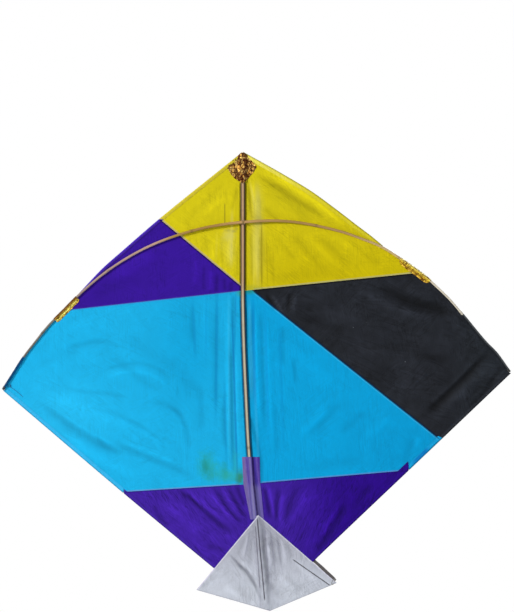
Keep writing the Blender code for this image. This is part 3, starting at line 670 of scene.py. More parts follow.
# ------------------------------------------------------------------ materials
class Graph:
    """A node material under construction."""

    def __init__(self, name):
        self.material = bpy.data.materials.new(name)
        self.material.use_nodes = True
        self.tree = self.material.node_tree
        self.tree.nodes.clear()

    def node(self, kind, values=None, **settings):
        """A node with its settings, and its inputs by name or number."""
        node = self.tree.nodes.new(kind)
        for key, value in settings.items():
            setattr(node, key, value)
        for key, value in (values or {}).items():
            self.put(node.inputs[key], value)
        return node

    def put(self, socket, value):
        if isinstance(value, bpy.types.NodeSocket):
            self.tree.links.new(value, socket)
        elif isinstance(value, (tuple, list, np.ndarray)):
            value = [float(v) for v in value]
            if len(socket.default_value) == 4 and len(value) == 3:
                value = value + [1.0]
            socket.default_value = value
        else:
            socket.default_value = value

    def math(self, operation, a, b=0.0, c=None):
        values = {0: a, 1: b} if c is None else {0: a, 1: b, 2: c}
        return self.node("ShaderNodeMath", values, operation=operation).outputs[0]

    def vec(self, operation, a, b=(0, 0, 0)):
        n = self.node("ShaderNodeVectorMath", {0: a, 1: b}, operation=operation)
        return n.outputs["Value" if operation == "LENGTH" else 0]

    def scaled(self, vector, factor):
        return self.node("ShaderNodeVectorMath", {0: vector, "Scale": factor},
                         operation="SCALE").outputs[0]

    def weighted(self, *terms):
        """The sum of (value, weight) terms."""
        total = None
        for value, weight in terms:
            part = self.math("MULTIPLY", value, weight)
            total = part if total is None else self.math("ADD", total, part)
        return total

    def attribute(self, name, output="Vector"):
        return self.node("ShaderNodeAttribute", attribute_name=name).outputs[output]

    def split(self, vector):
        return self.node("ShaderNodeSeparateXYZ", {0: vector}).outputs

    def noise(self, vector, scale, detail=2, rough=0.5, distortion=0):
        return self.node("ShaderNodeTexNoise", {
            "Vector": vector, "Scale": scale, "Detail": detail, "Roughness": rough,
            "Distortion": distortion}).outputs[0]

    def voronoi(self, vector, scale, feature="F1"):
        return self.node("ShaderNodeTexVoronoi", {"Vector": vector, "Scale": scale,
                                                  "Randomness": 1.0}, feature=feature).outputs

    def picked(self, cells, share):
        """1 in a random share of voronoi cells."""
        red = self.node("ShaderNodeSeparateColor", {0: cells["Color"]}).outputs[0]
        return self.math("GREATER_THAN", red, 1 - share)

    def ramp(self, value, low, high, out_low=0.0, out_high=1.0):
        return self.node("ShaderNodeMapRange", {0: value, 1: low, 2: high, 3: out_low,
                                                4: out_high},
                         interpolation_type="SMOOTHSTEP").outputs[0]

    def mix(self, factor, a, b):
        return self.node("ShaderNodeMix", {0: factor, 6: a, 7: b}, data_type="RGBA").outputs[2]

    def rotated(self, x, z, cosine, sine, along=1, across=1):
        """Coordinates along and across a direction in the sail plane, over two sizes."""
        return (self.weighted((x, cosine / along), (z, sine / along)),
                self.math("SUBTRACT", self.math("MULTIPLY", z, cosine / across),
                          self.math("MULTIPLY", x, sine / across)))

    def bump(self, height, strength, distance):
        return self.node("ShaderNodeBump", {"Height": height, "Strength": strength,
                                            "Distance": distance}).outputs[0]

    def segment(self, x, z, line, half, soft, offset=0.0, ends=2.0):
        """1 within half of a straight line, fading over soft at its sides and by its ends."""
        (ax, az), (bx, bz) = line
        length = math.hypot(bx - ax, bz - az)
        along, across = self.rotated(self.math("SUBTRACT", x, ax), self.math("SUBTRACT", z, az),
                                     (bx - ax) / length, (bz - az) / length)
        across = self.math("ABSOLUTE", self.math("SUBTRACT", across, offset))
        mask = self.ramp(across, half, half + soft, 1.0, 0.0)
        mask = self.math("MULTIPLY", mask, self.ramp(along, -ends, ends))
        return self.math("MULTIPLY", mask, self.ramp(along, length - ends, length + ends, 1, 0))

    def finish(self, color, translucent=0.0, **inputs):
        """Principled surface, partly translucent; inputs are its sockets, _ for spaces."""
        out = self.node("ShaderNodeOutputMaterial")
        values = {key.replace("_", " "): value for key, value in inputs.items()}
        shader = self.node("ShaderNodeBsdfPrincipled", {"Base Color": color, **values}).outputs[0]
        if translucent:
            glow = self.node("ShaderNodeBsdfTranslucent", {"Color": color}).outputs[0]
            shader = self.node("ShaderNodeMixShader",
                               {0: translucent, 1: shader, 2: glow}).outputs[0]
        self.tree.links.new(shader, out.inputs["Surface"])
        return self.material


def paper(name, lines=(), stains=(), specks=None, mottle=0.05, fibre=0.05, rough=0.68,
          relief=0.35, streaks=0.04, specular=0.08, wrinkles=()):
    """Thin kite paper: fibres, soft mottling and small crinkles, and on top of them
    lines: (two ends, half width, softness, tint, strength, offset, fade at the ends),
    stains: ((x, z, x radius, z radius), tint, strength),
    specks: (tint, cell, size, share) and
    wrinkles: (degrees, size across, size along, strength, seed)."""
    g = Graph(name)
    co = g.attribute("rest_co")
    zone = g.attribute("zone", "Color")
    x, _, z = g.split(co)
    big = g.noise(co, 1 / 26, 3)
    mid = g.noise(co, 1 / 5, 3, 0.6)
    fine = g.noise(co, 1 / 0.9, 2, 0.6)
    fibres = g.noise(g.vec("MULTIPLY", co, (1 / 1.1, 1, 1 / 14)), 1, 3, 0.65, 0.4)
    edges = g.voronoi(co, 1 / 9, "DISTANCE_TO_EDGE")["Distance"]
    edges = g.ramp(edges, 0, 0.10)
    light = 1.0
    for value, amount in ((big, mottle), (mid, mottle * 0.9), (fine, fibre), (fibres, streaks)):
        light = g.math("MULTIPLY_ADD", g.math("SUBTRACT", value, 0.5), 2 * amount, light)
    # fine sharp creases in patches: painted shade on one flank and a painted highlight on the other
    ridges = None
    for degrees, across, along, strength, seed in wrinkles:
        angle = math.radians(degrees)
        along, across = g.rotated(x, z, math.cos(angle), math.sin(angle), along, across)
        turned = g.node("ShaderNodeCombineXYZ", {0: along, 1: float(seed), 2: across}).outputs[0]
        wave = g.noise(turned, 1, 2, 0.55, 0.6)
        shifted = g.vec("ADD", g.scaled(co, 1 / 38), (seed * 7.3, 0, 0))
        patch = g.ramp(g.noise(shifted, 1, 1), 0.42, 0.62)
        dark, pale = [g.ramp(g.math("ABSOLUTE", g.math("SUBTRACT", wave, level)), 0, width, 1, 0)
                      for level, width in ((0.465, 0.04), (0.53, 0.05))]
        line = g.math("SUBTRACT", g.math("MULTIPLY", pale, 0.6), dark)
        line = g.math("MULTIPLY", line, patch)
        light = g.math("MULTIPLY_ADD", line, strength, light)
        ridges = line if ridges is None else g.math("ADD", ridges, line)
    color = g.scaled(zone, light)
    for line, half, soft, tint, strength, *rest in lines:
        mask = g.segment(x, z, line, half, soft, *rest)
        uneven = g.math("MULTIPLY", g.ramp(mid, 0.2, 0.6, 0.75, 1), strength)
        color = g.mix(g.math("MULTIPLY", mask, uneven), color, lin(tint))
    for (centre_x, centre_z, radius_x, radius_z), tint, strength in stains:
        from_centre = g.vec("SUBTRACT", co, (centre_x, 0, centre_z))
        distance = g.vec("LENGTH", g.vec("MULTIPLY", from_centre, (1 / radius_x, 0, 1 / radius_z)))
        for value, amount in ((mid, 0.9), (fibres, 0.5)):
            ragged = g.math("MULTIPLY", g.math("SUBTRACT", value, 0.5), amount)
            distance = g.math("ADD", distance, ragged)
        mask = g.math("MULTIPLY", g.ramp(distance, 0, 1.3, 1, 0), strength)
        color = g.mix(mask, color, lin(tint))
    if specks:
        tint, cell, size, share = specks
        cells = g.voronoi(co, 1 / cell)
        dot = g.ramp(cells["Distance"], size / cell * 0.5, size / cell, 1, 0)
        dot = g.math("MULTIPLY", dot, g.picked(cells, share))
        color = g.mix(g.math("MULTIPLY", dot, 0.7), color, lin(tint))
    heights = [(fine, 0.12), (fibres, 0.25), (mid, 0.8), (edges, 0.12)]
    if ridges is not None:
        heights.append((ridges, 0.35))
    normal = g.bump(g.weighted(*heights), relief, 0.0006)
    rough = g.math("ADD", g.math("MULTIPLY", g.math("SUBTRACT", mid, 0.5), 0.16), rough)
    return g.finish(color, translucent=0.08, Roughness=rough, Normal=normal,
                    Specular_IOR_Level=specular)


def bamboo(name, rough=0.48, strength=0.22):
    """Split bamboo: long fibres, a waxy skin, darker flecks. grain is (along, around, side)."""
    g = Graph(name)
    grain = g.attribute("grain")
    zone = g.attribute("zone", "Color")

    def fibres(along, around, detail, roughness):
        stretched = g.vec("MULTIPLY", grain, (1 / along, 1 / around, 1))
        return g.noise(stretched, 1, detail, roughness)

    long = fibres(22, 0.35, 3, 0.6)
    fine = fibres(6, 0.12, 2, 0.6)
    blotch = fibres(9, 2.5, 3, 0.6)
    fleck = fibres(1.6, 0.8, 3, 0.7)
    light = g.math("ADD", 1 - strength, g.math("MULTIPLY", long, 2 * strength))
    for base, value, gain in ((0.9, fine, 0.2), (0.82, blotch, 0.36)):
        light = g.math("MULTIPLY", light, g.math("ADD", base, g.math("MULTIPLY", value, gain)))
    color = g.scaled(zone, light)
    dark = g.math("MULTIPLY", g.ramp(fleck, 0.60, 0.74), 0.45)
    color = g.mix(dark, color, lin((92, 62, 34)))
    normal = g.bump(g.math("ADD", long, g.math("MULTIPLY", fine, 0.5)), 0.5, 0.00015)
    return g.finish(color, Roughness=rough, Normal=normal, Specular_IOR_Level=0.35,
                    Coat_Weight=0.08)


def thread(name, pitch=0.9):
    """Two-ply twisted thread. grain is (along, angle, 0)."""
    g = Graph(name)
    grain = g.attribute("grain")
    zone = g.attribute("zone", "Color")
    along, angle, _ = g.split(grain)
    turn = g.weighted((along, 2 * math.pi / pitch), (angle, 2))
    wave = g.math("MULTIPLY_ADD", g.math("SINE", turn), 0.5, 0.5)
    fuzz = g.noise(grain, 1 / 0.35, 3, 0.7)
    light = g.math("ADD", 0.55, g.math("MULTIPLY", wave, 0.4))
    light = g.math("ADD", light, g.math("MULTIPLY", fuzz, 0.3))
    color = g.scaled(zone, light)
    normal = g.bump(g.math("ADD", wave, g.math("MULTIPLY", fuzz, 0.6)), 0.8, 0.0002)
    return g.finish(color, Roughness=0.85, Normal=normal, Specular_IOR_Level=0.15,
                    Sheen_Weight=0.3)


def foil(name, cell, worn_share, gains, under, border, stretch=None):
    """Crackled gold foil paper: metallic skin, brown where it has worn through.
    gains are its darkest and brightest, painted reflections of its crinkles, border the width of the
    worn cell edges."""
    g = Graph(name)
    co = g.attribute("rest_co")
    zone = g.attribute("zone", "Color")
    if stretch:
        flat = g.vec("MULTIPLY", g.attribute("grain"), (1 / stretch, 1, 1))
    else:
        flat = g.vec("MULTIPLY", co, (1, 0.35, 0.8))
    warp = g.noise(flat, 1 / 2.2).node.outputs[1]
    bent = g.vec("ADD", flat, g.scaled(warp, 1.3))
    edge = g.voronoi(bent, 1 / cell, "DISTANCE_TO_EDGE")["Distance"]
    cells = g.voronoi(bent, 1 / cell)
    blot = g.noise(co, 1 / 1.5, 3, 0.6)
    worn = g.math("MAXIMUM", g.ramp(edge, *border, 1, 0), g.picked(cells, worn_share))
    worn = g.math("MULTIPLY", worn, g.ramp(blot, 0.30, 0.52))
    # painted reflections: the gold darker and brighter in blotches
    gold = g.mix(g.ramp(blot, 0.35, 0.7), g.scaled(zone, gains[0]), g.scaled(zone, gains[1]))
    color = g.mix(worn, gold, lin(under))
    normal = g.bump(g.weighted((edge, 1.4), (blot, 0.9)), 0.9, 0.0007)
    rough = g.math("ADD", 0.38, g.math("MULTIPLY", worn, 0.3))
    metal = g.math("SUBTRACT", 0.42, g.math("MULTIPLY", worn, 0.35))
    shine = g.math("SUBTRACT", 0.4, g.math("MULTIPLY", worn, 0.32))
    return g.finish(color, Roughness=rough, Normal=normal, Metallic=metal,
                    Specular_IOR_Level=shine)


# ------------------------------------------------------------------ colours of the sail
def blend_colour(a, b, weight):
    weight = np.asarray(weight)[..., None]
    return a * (1 - weight) + b * weight


def flat_colour(tint):
    return lambda co: np.broadcast_to(lin(tint), (len(co), 3))


def spot(co, x, z, radius_x, radius_z):
    return np.exp(-((co[:, 0] - x) / radius_x) ** 2 - ((co[:, 1] - z) / radius_z) ** 2)


def yellow(co):
    x, z = co[:, 0], co[:, 1]
    weight = smooth01((60 - z) / 130) * smooth01((x + 40) / 120)
    colour = blend_colour(lin((214, 200, 18)), lin((206, 188, 0)), weight)
    # bleached stretches beside the spine
    u = from_spine(co)
    pale = 0.42 * bell(u, 17, 6) * smooth01((70 - z) / 40) * smooth01((z + 70) / 50)
    pale += 0.34 * bell(u, -15, 5.5) * smooth01((10 - z) / 25) * smooth01((z + 45) / 25)
    return blend_colour(colour, lin((206, 200, 104)), np.clip(pale, 0, 1))


def purple_up(co):
    return flat_colour((54, 18, 151))(co) * (1 + 0.03 * lumps(co, 45, 21))[:, None]


def purple_low(co):
    return blend_colour(lin((64, 31, 158)), lin((43, 5, 135)), smooth01((co[:, 0] - 20) / 110))


def cyan(co):
    # painted light from the left: lighter left of the spine and at the lower left (-215, -215);
    # painted shade around (-60, -130); darker towards the lower right
    across = smooth01((from_spine(co) + 12) / 24)
    colour = blend_colour(lin((24, 176, 229)), lin((2, 163, 221)), across)
    colour = blend_colour(colour, lin((6, 163, 218)), 0.75 * spot(co, -60, -130, 50, 90))
    colour = blend_colour(colour, lin((36, 187, 239)), 0.7 * spot(co, -215, -215, 60, 40))
    low = smooth01((co[:, 0] - 90) / 110) * smooth01((-170 - co[:, 1]) / 80)
    return blend_colour(colour, lin((0, 157, 215)), low)


def black(co):
    outer = smooth01((co[:, 0] - 240) / 50)
    colour = blend_colour(flat_colour((33, 36, 43))(co), lin((36, 41, 48)), 0.8 * outer)
    return colour * (1 + 0.10 * lumps(co, 50, 31))[:, None]


def sail_surface(layer, group):
    def surface(co):
        depth, shade = sail_depth(co)
        if group == "black":
            # crumpled all over, with painted highlights and shade over the crumples
            shade = shade + 0.35 * lumps(co * np.array([0.6, 1.0]), 26, 61) \
                + 0.22 * lumps(co, 9, 63)
            from_seams = np.minimum(near(co, YELLOW_BLACK)[0], near(co, BLACK_CYAN)[0])
            depth = depth + 0.16 * lumps(co, 14, 65) * smooth01((from_seams - 2) / 10)
        if group.startswith("purple_lower"):
            shade = shade + 0.12 * lumps(co, 14, 71) + 0.08 * lumps(co, 5, 73)
        # painted shadow along the right edge of the spine
        return SAIL + layer + depth, shade - 0.10 * bell(from_spine(co), 4.2, 2.2)
    return surface


# ------------------------------------------------------------------ the sail's outline
def half_sail(side, upper, lower, join, sleeve_start, tip):
    """Outline of one half, side -1 or 1; join is the x where the upper hem meets the bow."""
    bow = resample(between(bow_curve, join, sleeve_start), 2.5)
    sleeve = resample(between(bow_curve, sleeve_start, tip), 2.5)
    sleeve = sleeve - side * 0.7 * normals(sleeve)
    low = lower[(lower[:, 1] > SAIL_END + 0.4) & (np.abs(lower[:, 0]) < abs(tip) - 0.5)]
    top = upper[(np.abs(upper[:, 0]) < abs(join) - 0.5) & (np.abs(upper[:, 0]) > 0.2)]
    zs = np.arange(SAIL_END, 98, 4.0)
    spine = np.column_stack([spine_x(zs), zs])
    end = [[np.interp(SAIL_END, lower[::-1, 1], lower[::-1, 0]), SAIL_END]]
    return np.vstack([[[0.0, 98.4]], top, bow[:-1], sleeve, low, end, spine])


left = half_sail(-1, hem_ul, hem_ll, join=-190.5, sleeve_start=SLEEVE_L[0], tip=-287)
right = half_sail(1, hem_ur, hem_lr, join=167, sleeve_start=SLEEVE_R[0], tip=320.4)


def beside_spine(top, bottom, tint, offset):
    """Painted shadow lines along one edge of the spine, one for each stretch of its curve."""
    zs = [top] + [z for z in (-78, -134, -194, -266) if bottom < z < top] + [bottom]
    ends = [(float(spine_x(z)) + offset, z) for z in zs]
    return [(line, 0.55, 1.1, tint, 0.8) for line in zip(ends, ends[1:])]


# tints of the painted shadow beside the spine, one for each paper
SPINE_SHADOW_YELLOW, SPINE_SHADOW_CYAN, SPINE_SHADOW_PURPLE = (92, 78, 14), (4, 74, 112), (24, 6, 66)
yellow_l = paper("paper_yellow_left", lines=beside_spine(62, -62, SPINE_SHADOW_YELLOW, -3) + [
    # painted highlight along the yellow paper's lit edge at the seam
    (YELLOW_PURPLE, .75, .5, (186, 168, 128), .85, .8),
    # paler and darker streaks along the creases: painted highlight and shade
    (((-21.7, 37), (-21.6, 13)), .5, .5, (120, 105, 30), .55),
    (((-13, 24), (-14, -34)), .5, 2.2, (222, 214, 120), .35, 0, 12),
    (((-31, 2), (-32, -28)), .4, 2, (228, 214, 60), .35, 0, 9),
    (((-7.5, 60), (-8.5, 20)), .4, 1.8, (176, 160, 10), .35, 0, 12),
], stains=[
    ((-18, 5, 5, 2.2), (140, 135, 70), .5), ((-11, 4, 4, 2.4), (136, 132, 84), .45),
    ((-8, 7, 3, 2), (120, 118, 78), .4), ((-17, -1, 9, 8), (218, 212, 120), .45),
    ((-25, -10, 5, 12), (216, 206, 70), .3),
], streaks=0.08, wrinkles=[(-86, 3.2, 40, .1, 1), (-38, 4.5, 50, .07, 2), (38, 6, 40, .05, 3)])
yellow_r = paper("paper_yellow_right", lines=beside_spine(62, -66, SPINE_SHADOW_YELLOW, 3.2) + [
    # painted highlight along the yellow paper's lit edge at the seam
    (YELLOW_BLACK, .7, .5, (190, 184, 118), .9, .75),
    # paler and darker streaks along the creases: painted highlight and shade
    (((22.5, 12), (22.8, -62)), .4, 1, (146, 130, 14), .55, 0, 8),
    (((13, 8), (13.4, -62)), .4, 1.4, (222, 210, 70), .45, 0, 10),
    (((6.5, 62), (10.5, 22)), .4, 1.5, (160, 144, 8), .5, 0, 10),
    (((9.2, 60), (15.5, 28)), .5, 1.8, (226, 214, 90), .45, 0, 10),
    (((17.5, 56), (19.5, 16)), .8, 3.4, (194, 188, 92), .42, 0, 14),
    (((17, 10), (18, -62)), .8, 2.8, (206, 196, 90), .35, 0, 14),
    (((28.5, -8), (30, -60)), .3, 1.2, (168, 150, 6), .4, 0, 12),
    (((36.5, -14), (37, -60)), .3, 1.4, (176, 158, 6), .3, 0, 12),
], stains=[
    ((14, -64, 14, 5), (120, 150, 70), .3), ((24, -20, 6, 22), (176, 160, 20), .35),
    ((19, 16, 7, 7), (168, 166, 100), .35),
], streaks=0.08, wrinkles=[(-88, 3, 46, .1, 4), (-36, 4.5, 55, .11, 5), (-52, 5.5, 48, .07, 6),
                           (6, 7, 50, .05, 7)])
purple_u = paper("paper_purple_upper", lines=[
    # painted shadow beside the yellow paper's edge
    (YELLOW_PURPLE, .35, .9, (22, 4, 60), .85, -.8),
    (PURPLE_CYAN, .2, .6, (80, 60, 160), .5, .4),
] + beside_spine(-62, -68, SPINE_SHADOW_PURPLE, -3), mottle=0.07, fibre=0.08,
    wrinkles=[(-88, 3.2, 40, .16, 8), (30, 7, 55, .1, 9), (-20, 8, 50, .08, 10)])
cyan_l = paper("paper_cyan_left", lines=beside_spine(-68.4, -298, SPINE_SHADOW_CYAN, -3) + [
    # paler and darker streaks along the creases: painted highlight and shade
    (((-31, -74), (-32.5, -215)), .6, 2, (2, 136, 196), .5, 0, 26),
    (((-12.5, -100), (-6.5, -296)), .5, 1.4, (0, 112, 178), .62, 0, 30),
    (((-8.5, -72), (-10, -140)), .4, 1.2, (2, 120, 182), .45, 0, 14),
    (((-44, -76), (-44.5, -150)), .4, 2, (6, 144, 204), .35, 0, 22),
    (((-60, -82), (-57, -146)), .6, 2.4, (4, 140, 200), .4, 0, 22),
    (((-22, -180), (-20, -268)), .5, 1.8, (2, 132, 190), .45, 0, 22),
    (((-17, -80), (-16, -262)), .5, 1.8, (60, 196, 240), .3, 0, 34),
    (PURPLE_CYAN, .3, .7, (60, 120, 205), .6, -.4),
    (CYAN_PURPLE_L, .4, .8, (112, 140, 205), .7, .6),
], stains=[
    ((-43, -278, 13, 20), (38, 168, 166), .75), ((-45, -279, 6, 12), (30, 138, 124), .65),
    ((-38, -288, 8, 11), (36, 150, 146), .5), ((-27, -287, 14, 13), (42, 172, 168), .6),
    ((-21, -284, 5, 14), (34, 150, 140), .45), ((-14, -290, 12, 10), (48, 170, 150), .55),
    ((-3.5, -292, 6, 12), (50, 130, 82), .85), ((-3, -70, 6, 5), (60, 160, 120), .7),
    ((-9, -276, 5, 22), (44, 174, 172), .4),
], mottle=0.045, streaks=0.045,
    wrinkles=[(-89, 3.6, 60, .06, 11), (-26, 6, 60, .06, 12), (-48, 6.5, 55, .04, 13),
              (24, 8, 60, .04, 14)])
cyan_r = paper("paper_cyan_right", lines=beside_spine(-66.5, -296, SPINE_SHADOW_CYAN, 3.2) + [
    (BLACK_CYAN, .35, .5, (10, 60, 104), .75, -.3),
    (BLACK_CYAN, .3, .6, (84, 190, 232), .32, -1.5),
    (CYAN_PURPLE_R, .4, .8, (100, 130, 205), .7, .6),
    # paler and darker streaks along the creases: painted highlight and shade
    (((8, -84), (10.5, -190)), .6, 2.2, (64, 194, 244), .38, 0, 16),
    (((12.5, -150), (20, -296)), .5, 2, (58, 188, 240), .3, 0, 24),
    (((12.5, -84), (14.5, -200)), .5, 2.2, (0, 112, 190), .42, 0, 18),
    (((27, -96), (31, -240)), .4, 2.2, (0, 132, 200), .32, 0, 28),
    (((44, -110), (49, -250)), .4, 2.4, (0, 134, 198), .26, 0, 30),
    (((222, -257.5), (205, -273.8)), 1.2, 1.6, (0, 104, 190), .75, 0, 5),
], stains=[((9, -68, 10, 4.5), (40, 140, 90), .8)], mottle=0.04, streaks=0.05,
    wrinkles=[(-87, 3.4, 60, .08, 15), (-80, 5, 70, .06, 16), (38, 6, 60, .06, 17),
              (-34, 8, 60, .03, 18)])
black_p = paper("paper_black", lines=[
    # painted shadows beside the edges of the yellow and cyan papers
    (YELLOW_BLACK, .5, 1, (10, 10, 12), .85, -.9),
    (BLACK_CYAN, .5, .9, (2, 30, 58), .8, .8),
], specks=((150, 156, 166), 15, 0.75, 0.22), mottle=0.20, fibre=0.20, streaks=0.16,
    wrinkles=[(-24, 7, 60, .24, 19), (42, 7.5, 50, .22, 20), (-76, 4.5, 44, .2, 21),
              (-8, 9, 60, .18, 22)],
    relief=0.6, rough=0.62, specular=0.12)
purple_l = paper("paper_purple_lower_left", lines=[
    # painted shadow beside the cyan paper's edge
    (CYAN_PURPLE_L, .3, .8, (36, 10, 110), .6, -.5)], mottle=0.10, fibre=0.12, streaks=0.10,
    wrinkles=[(-50, 4, 50, .28, 23), (-68, 3.2, 44, .24, 24), (-34, 6, 50, .16, 25)])
purple_r = paper("paper_purple_lower_right", lines=[
    # painted shadow beside the cyan paper's edge
    (CYAN_PURPLE_R, .3, .8, (30, 4, 104), .6, -.5)], mottle=0.10, fibre=0.12, streaks=0.10,
    wrinkles=[(72, 3.6, 50, .26, 26), (58, 4.5, 50, .22, 27), (96, 3.2, 44, .18, 28),
              (40, 6, 50, .12, 29)])


def panel(name, outline, material, colour, layer, group, side):
    """One paper of the sail; group is its set of folds and names its frame node."""
    obj = paper_sheet(name, outline, material, colour, sail_surface(layer, group),
                      groups=(group,))
    attach(obj, group.split("_")[0] + "_paper", side, "sail_" + group)


panel("yellow_paper_left", keep(left, YELLOW_PURPLE, True), yellow_l, yellow, FRONT,
      "yellow_left", "left")
panel("purple_paper_shoulder",
      keep(keep(left, YELLOW_PURPLE, False, -LAP), PURPLE_CYAN, True, -LAP),
      purple_u, purple_up, BEHIND, "purple_upper", "left")
panel("cyan_paper_left", keep(keep(left, PURPLE_CYAN, False), CYAN_PURPLE_L, True),
      cyan_l, cyan, FRONT, "cyan_left", "left")
panel("purple_paper_tail_left", keep(left, CYAN_PURPLE_L, False, -LAP), purple_l, purple_low,
      BEHIND, "purple_lower_left", "left")
panel("yellow_paper_right", keep(right, YELLOW_BLACK, True), yellow_r, yellow, FRONT,
      "yellow_right", "right")
panel("black_paper_wing", keep(keep(right, YELLOW_BLACK, False, -LAP), BLACK_CYAN, True, -LAP),
      black_p, black, BEHIND, "black", "right")
panel("cyan_paper_right",
      keep(keep(keep(right, YELLOW_BLACK, False, -0.2), BLACK_CYAN, False), CYAN_PURPLE_R, True),
      cyan_r, cyan, FRONT + 0.04, "cyan_right", "right")
panel("purple_paper_tail_right", keep(right, CYAN_PURPLE_R, False, -LAP), purple_r, purple_low,
      BEHIND, "purple_lower_right", "right")


# ------------------------------------------------------------------ hems folded at the sail's edge
# distance into the sail, y: round the front and back skins of the fold
HEM_PROFILE = np.array([
    (3.5, -.16), (2.7, -.2), (1.9, -.3), (1.2, -.44), (.6, -.46), (0, -.36), (-.45, -.12),
    (-.6, .2), (-.5, .52), (-.1, .78), (.6, .86), (1.4, .72), (2.4, .52), (3.8, .44),
    (3.8, .56), (2.4, .66), (1.4, .9), (.6, 1.02), (-.2, .92), (-.68, .6), (-.78, .2),
    (-.6, -.2), (-.08, -.48), (.6, -.6), (1.25, -.58), (1.95, -.44), (2.75, -.34), (3.5, -.3)])
HEM_WIDTH = 3.5                           # width of the front flap in the profile


def hem(name, curve, ends, material, colour, layer, slot, side, *nodes, skew=(0.0, 0.0),
        width=HEM_WIDTH, edge, inner):
    """The sail's edge folded back between two x positions. skew mitres the two ends; layer
    and width may be pairs (start, rest); edge and inner paint light (above 0) and shade (below 0) on
    the rim and along the inner border."""
    line = resample(between(curve, *ends, margin=0.4), 2.0)
    inward = (1 if side == "left" else -1) * normals(line)
    forward = tangents(line)
    reach, height = HEM_PROFILE.T
    count = len(line)
    widths, layers = np.broadcast_to(width, 2), np.broadcast_to(layer, 2)
    along = distances(line)
    ragged = 0.25 * np.array([noise.noise((a / 9, 4, len(name))) for a in along])
    flat, lift = [], []
    for i in range(count):
        share = i / (count - 1)
        start = smooth01((26 - along[i]) / 12)
        wide = (widths[0] * start + widths[1] * (1 - start)) / HEM_WIDTH
        u = np.where(reach > 0, reach * wide, reach)
        u = u + np.where(reach > 2, ragged[i], 0.0)
        slip = u * (skew[0] * (1 - share) ** 6 + skew[1] * share ** 6)
        flat.append(line[i] + u[:, None] * inward[i] + slip[:, None] * forward[i])
        lift.append(height + layers[0] * start + layers[1] * (1 - start))
    flat = np.vstack(flat)
    depth, shade = sail_depth(flat)
    y = SAIL + 0.9 * depth + np.concatenate(lift)
    shape = (count, len(HEM_PROFILE), 3)
    verts = np.column_stack([flat[:, 0], y, flat[:, 1]]).reshape(shape)
    zone = (colour(flat) * np.exp(0.7 * shade)[:, None]).reshape(shape)
    # edge and inner paint light (above 0) and shade (below 0) on the rim and along the inner border
    tone = np.interp(reach, [-0.8, 0.2, 1.2, 2.6, 3.2, 3.8],
                     [edge, edge * 0.5, 0.05, 0.0, inner, inner])
    obj = loft(name, verts, material, zone * (1 + tone)[None, :, None])
    attach(obj, slot, side, *nodes)


def hem_yellow_right(co):
    weight = smooth01((110 - co[:, 0]) / 110)
    return blend_colour(lin((218, 204, 40)), lin((240, 230, 92)), weight)


hem_purple = flat_colour((66, 36, 160))
HEM_BEHIND = BEHIND - 0.1

hem("hem_yellow_left", hem_ul, (-0.6, -99.6), yellow_l, flat_colour((208, 192, 52)), FRONT,
    "yellow_paper", "left", "hem_cord_upper_left", skew=(0.9, -1), edge=0.10, inner=-0.12)
hem("hem_purple_upper", hem_ul, (-98.6, -198.6), purple_u, hem_purple, HEM_BEHIND,
    "purple_paper", "left", skew=(-0.9, 0), edge=0.55, inner=-0.55, width=3.2)
hem("hem_yellow_right", hem_ur, (0.6, 167.6), yellow_r, hem_yellow_right, FRONT,
    "yellow_paper", "right", "hem_cord_upper_right", skew=(1.2, 0), edge=-0.42, inner=-0.10,
    width=4.6)
hem("hem_cyan_left", hem_ll, (-287, -143.4), cyan_l, flat_colour((52, 182, 236)), FRONT,
    "cyan_paper", "left", "hem_cord_lower_left", skew=(0.7, -0.8), edge=-0.45, inner=-0.08,
    width=4.2)
hem("hem_purple_tail_left", hem_ll, (-142.6, FIN_HEM_L), purple_l, hem_purple, HEM_BEHIND,
    "purple_paper", "left", skew=(-0.8, 0), edge=-0.45, inner=-0.10)
hem("hem_black", hem_lr, (321.2, 237.2), black_p, flat_colour((40, 44, 52)), HEM_BEHIND,
    "black_paper", "right", "hem_cord_lower_right", skew=(0.6, 0), edge=-0.5, inner=-0.25)
hem("hem_cyan_right", hem_lr, (239.4, 199.6), cyan_r, flat_colour((18, 162, 220)), FRONT,
    "cyan_paper", "right", skew=(0.4, -0.85), edge=-0.62, inner=-0.06, width=5.0)
hem("hem_purple_tail_right", hem_lr, (199, FIN_HEM_R), purple_r, purple_low,
    (FRONT - 0.12, HEM_BEHIND), "purple_paper", "right", skew=(-0.85, 0), edge=-0.35,
    inner=-0.16, width=(7.8, 3.6))

# ------------------------------------------------------------------ sticks
bamboo_mat = bamboo("split_bamboo")
bamboo_pale = bamboo("split_bamboo_bow", rough=0.42, strength=0.18)
bamboo_dark = bamboo("split_bamboo_dark", rough=0.6, strength=0.3)

# the bow's colour along its length: x, then sRGB
BOW_TONES = np.array([
    (-290, 84, 82, 78), (-262, 94, 90, 82), (-225, 116, 112, 102), (-190, 158, 134, 124),
    (-105, 186, 150, 132), (-82, 164, 130, 62), (-40, 158, 122, 58), (0, 186, 146, 92),
    (60, 166, 130, 66), (130, 178, 142, 90), (165, 196, 168, 118), (195, 206, 178, 112),
    (232, 216, 206, 186), (262, 206, 198, 180), (325, 120, 118, 112)])
bow_colours = lin(BOW_TONES[:, 1:])
BOW_SIDES = 14
SQUARENESS = 3.2                          # exponent of the bow's rounded square section


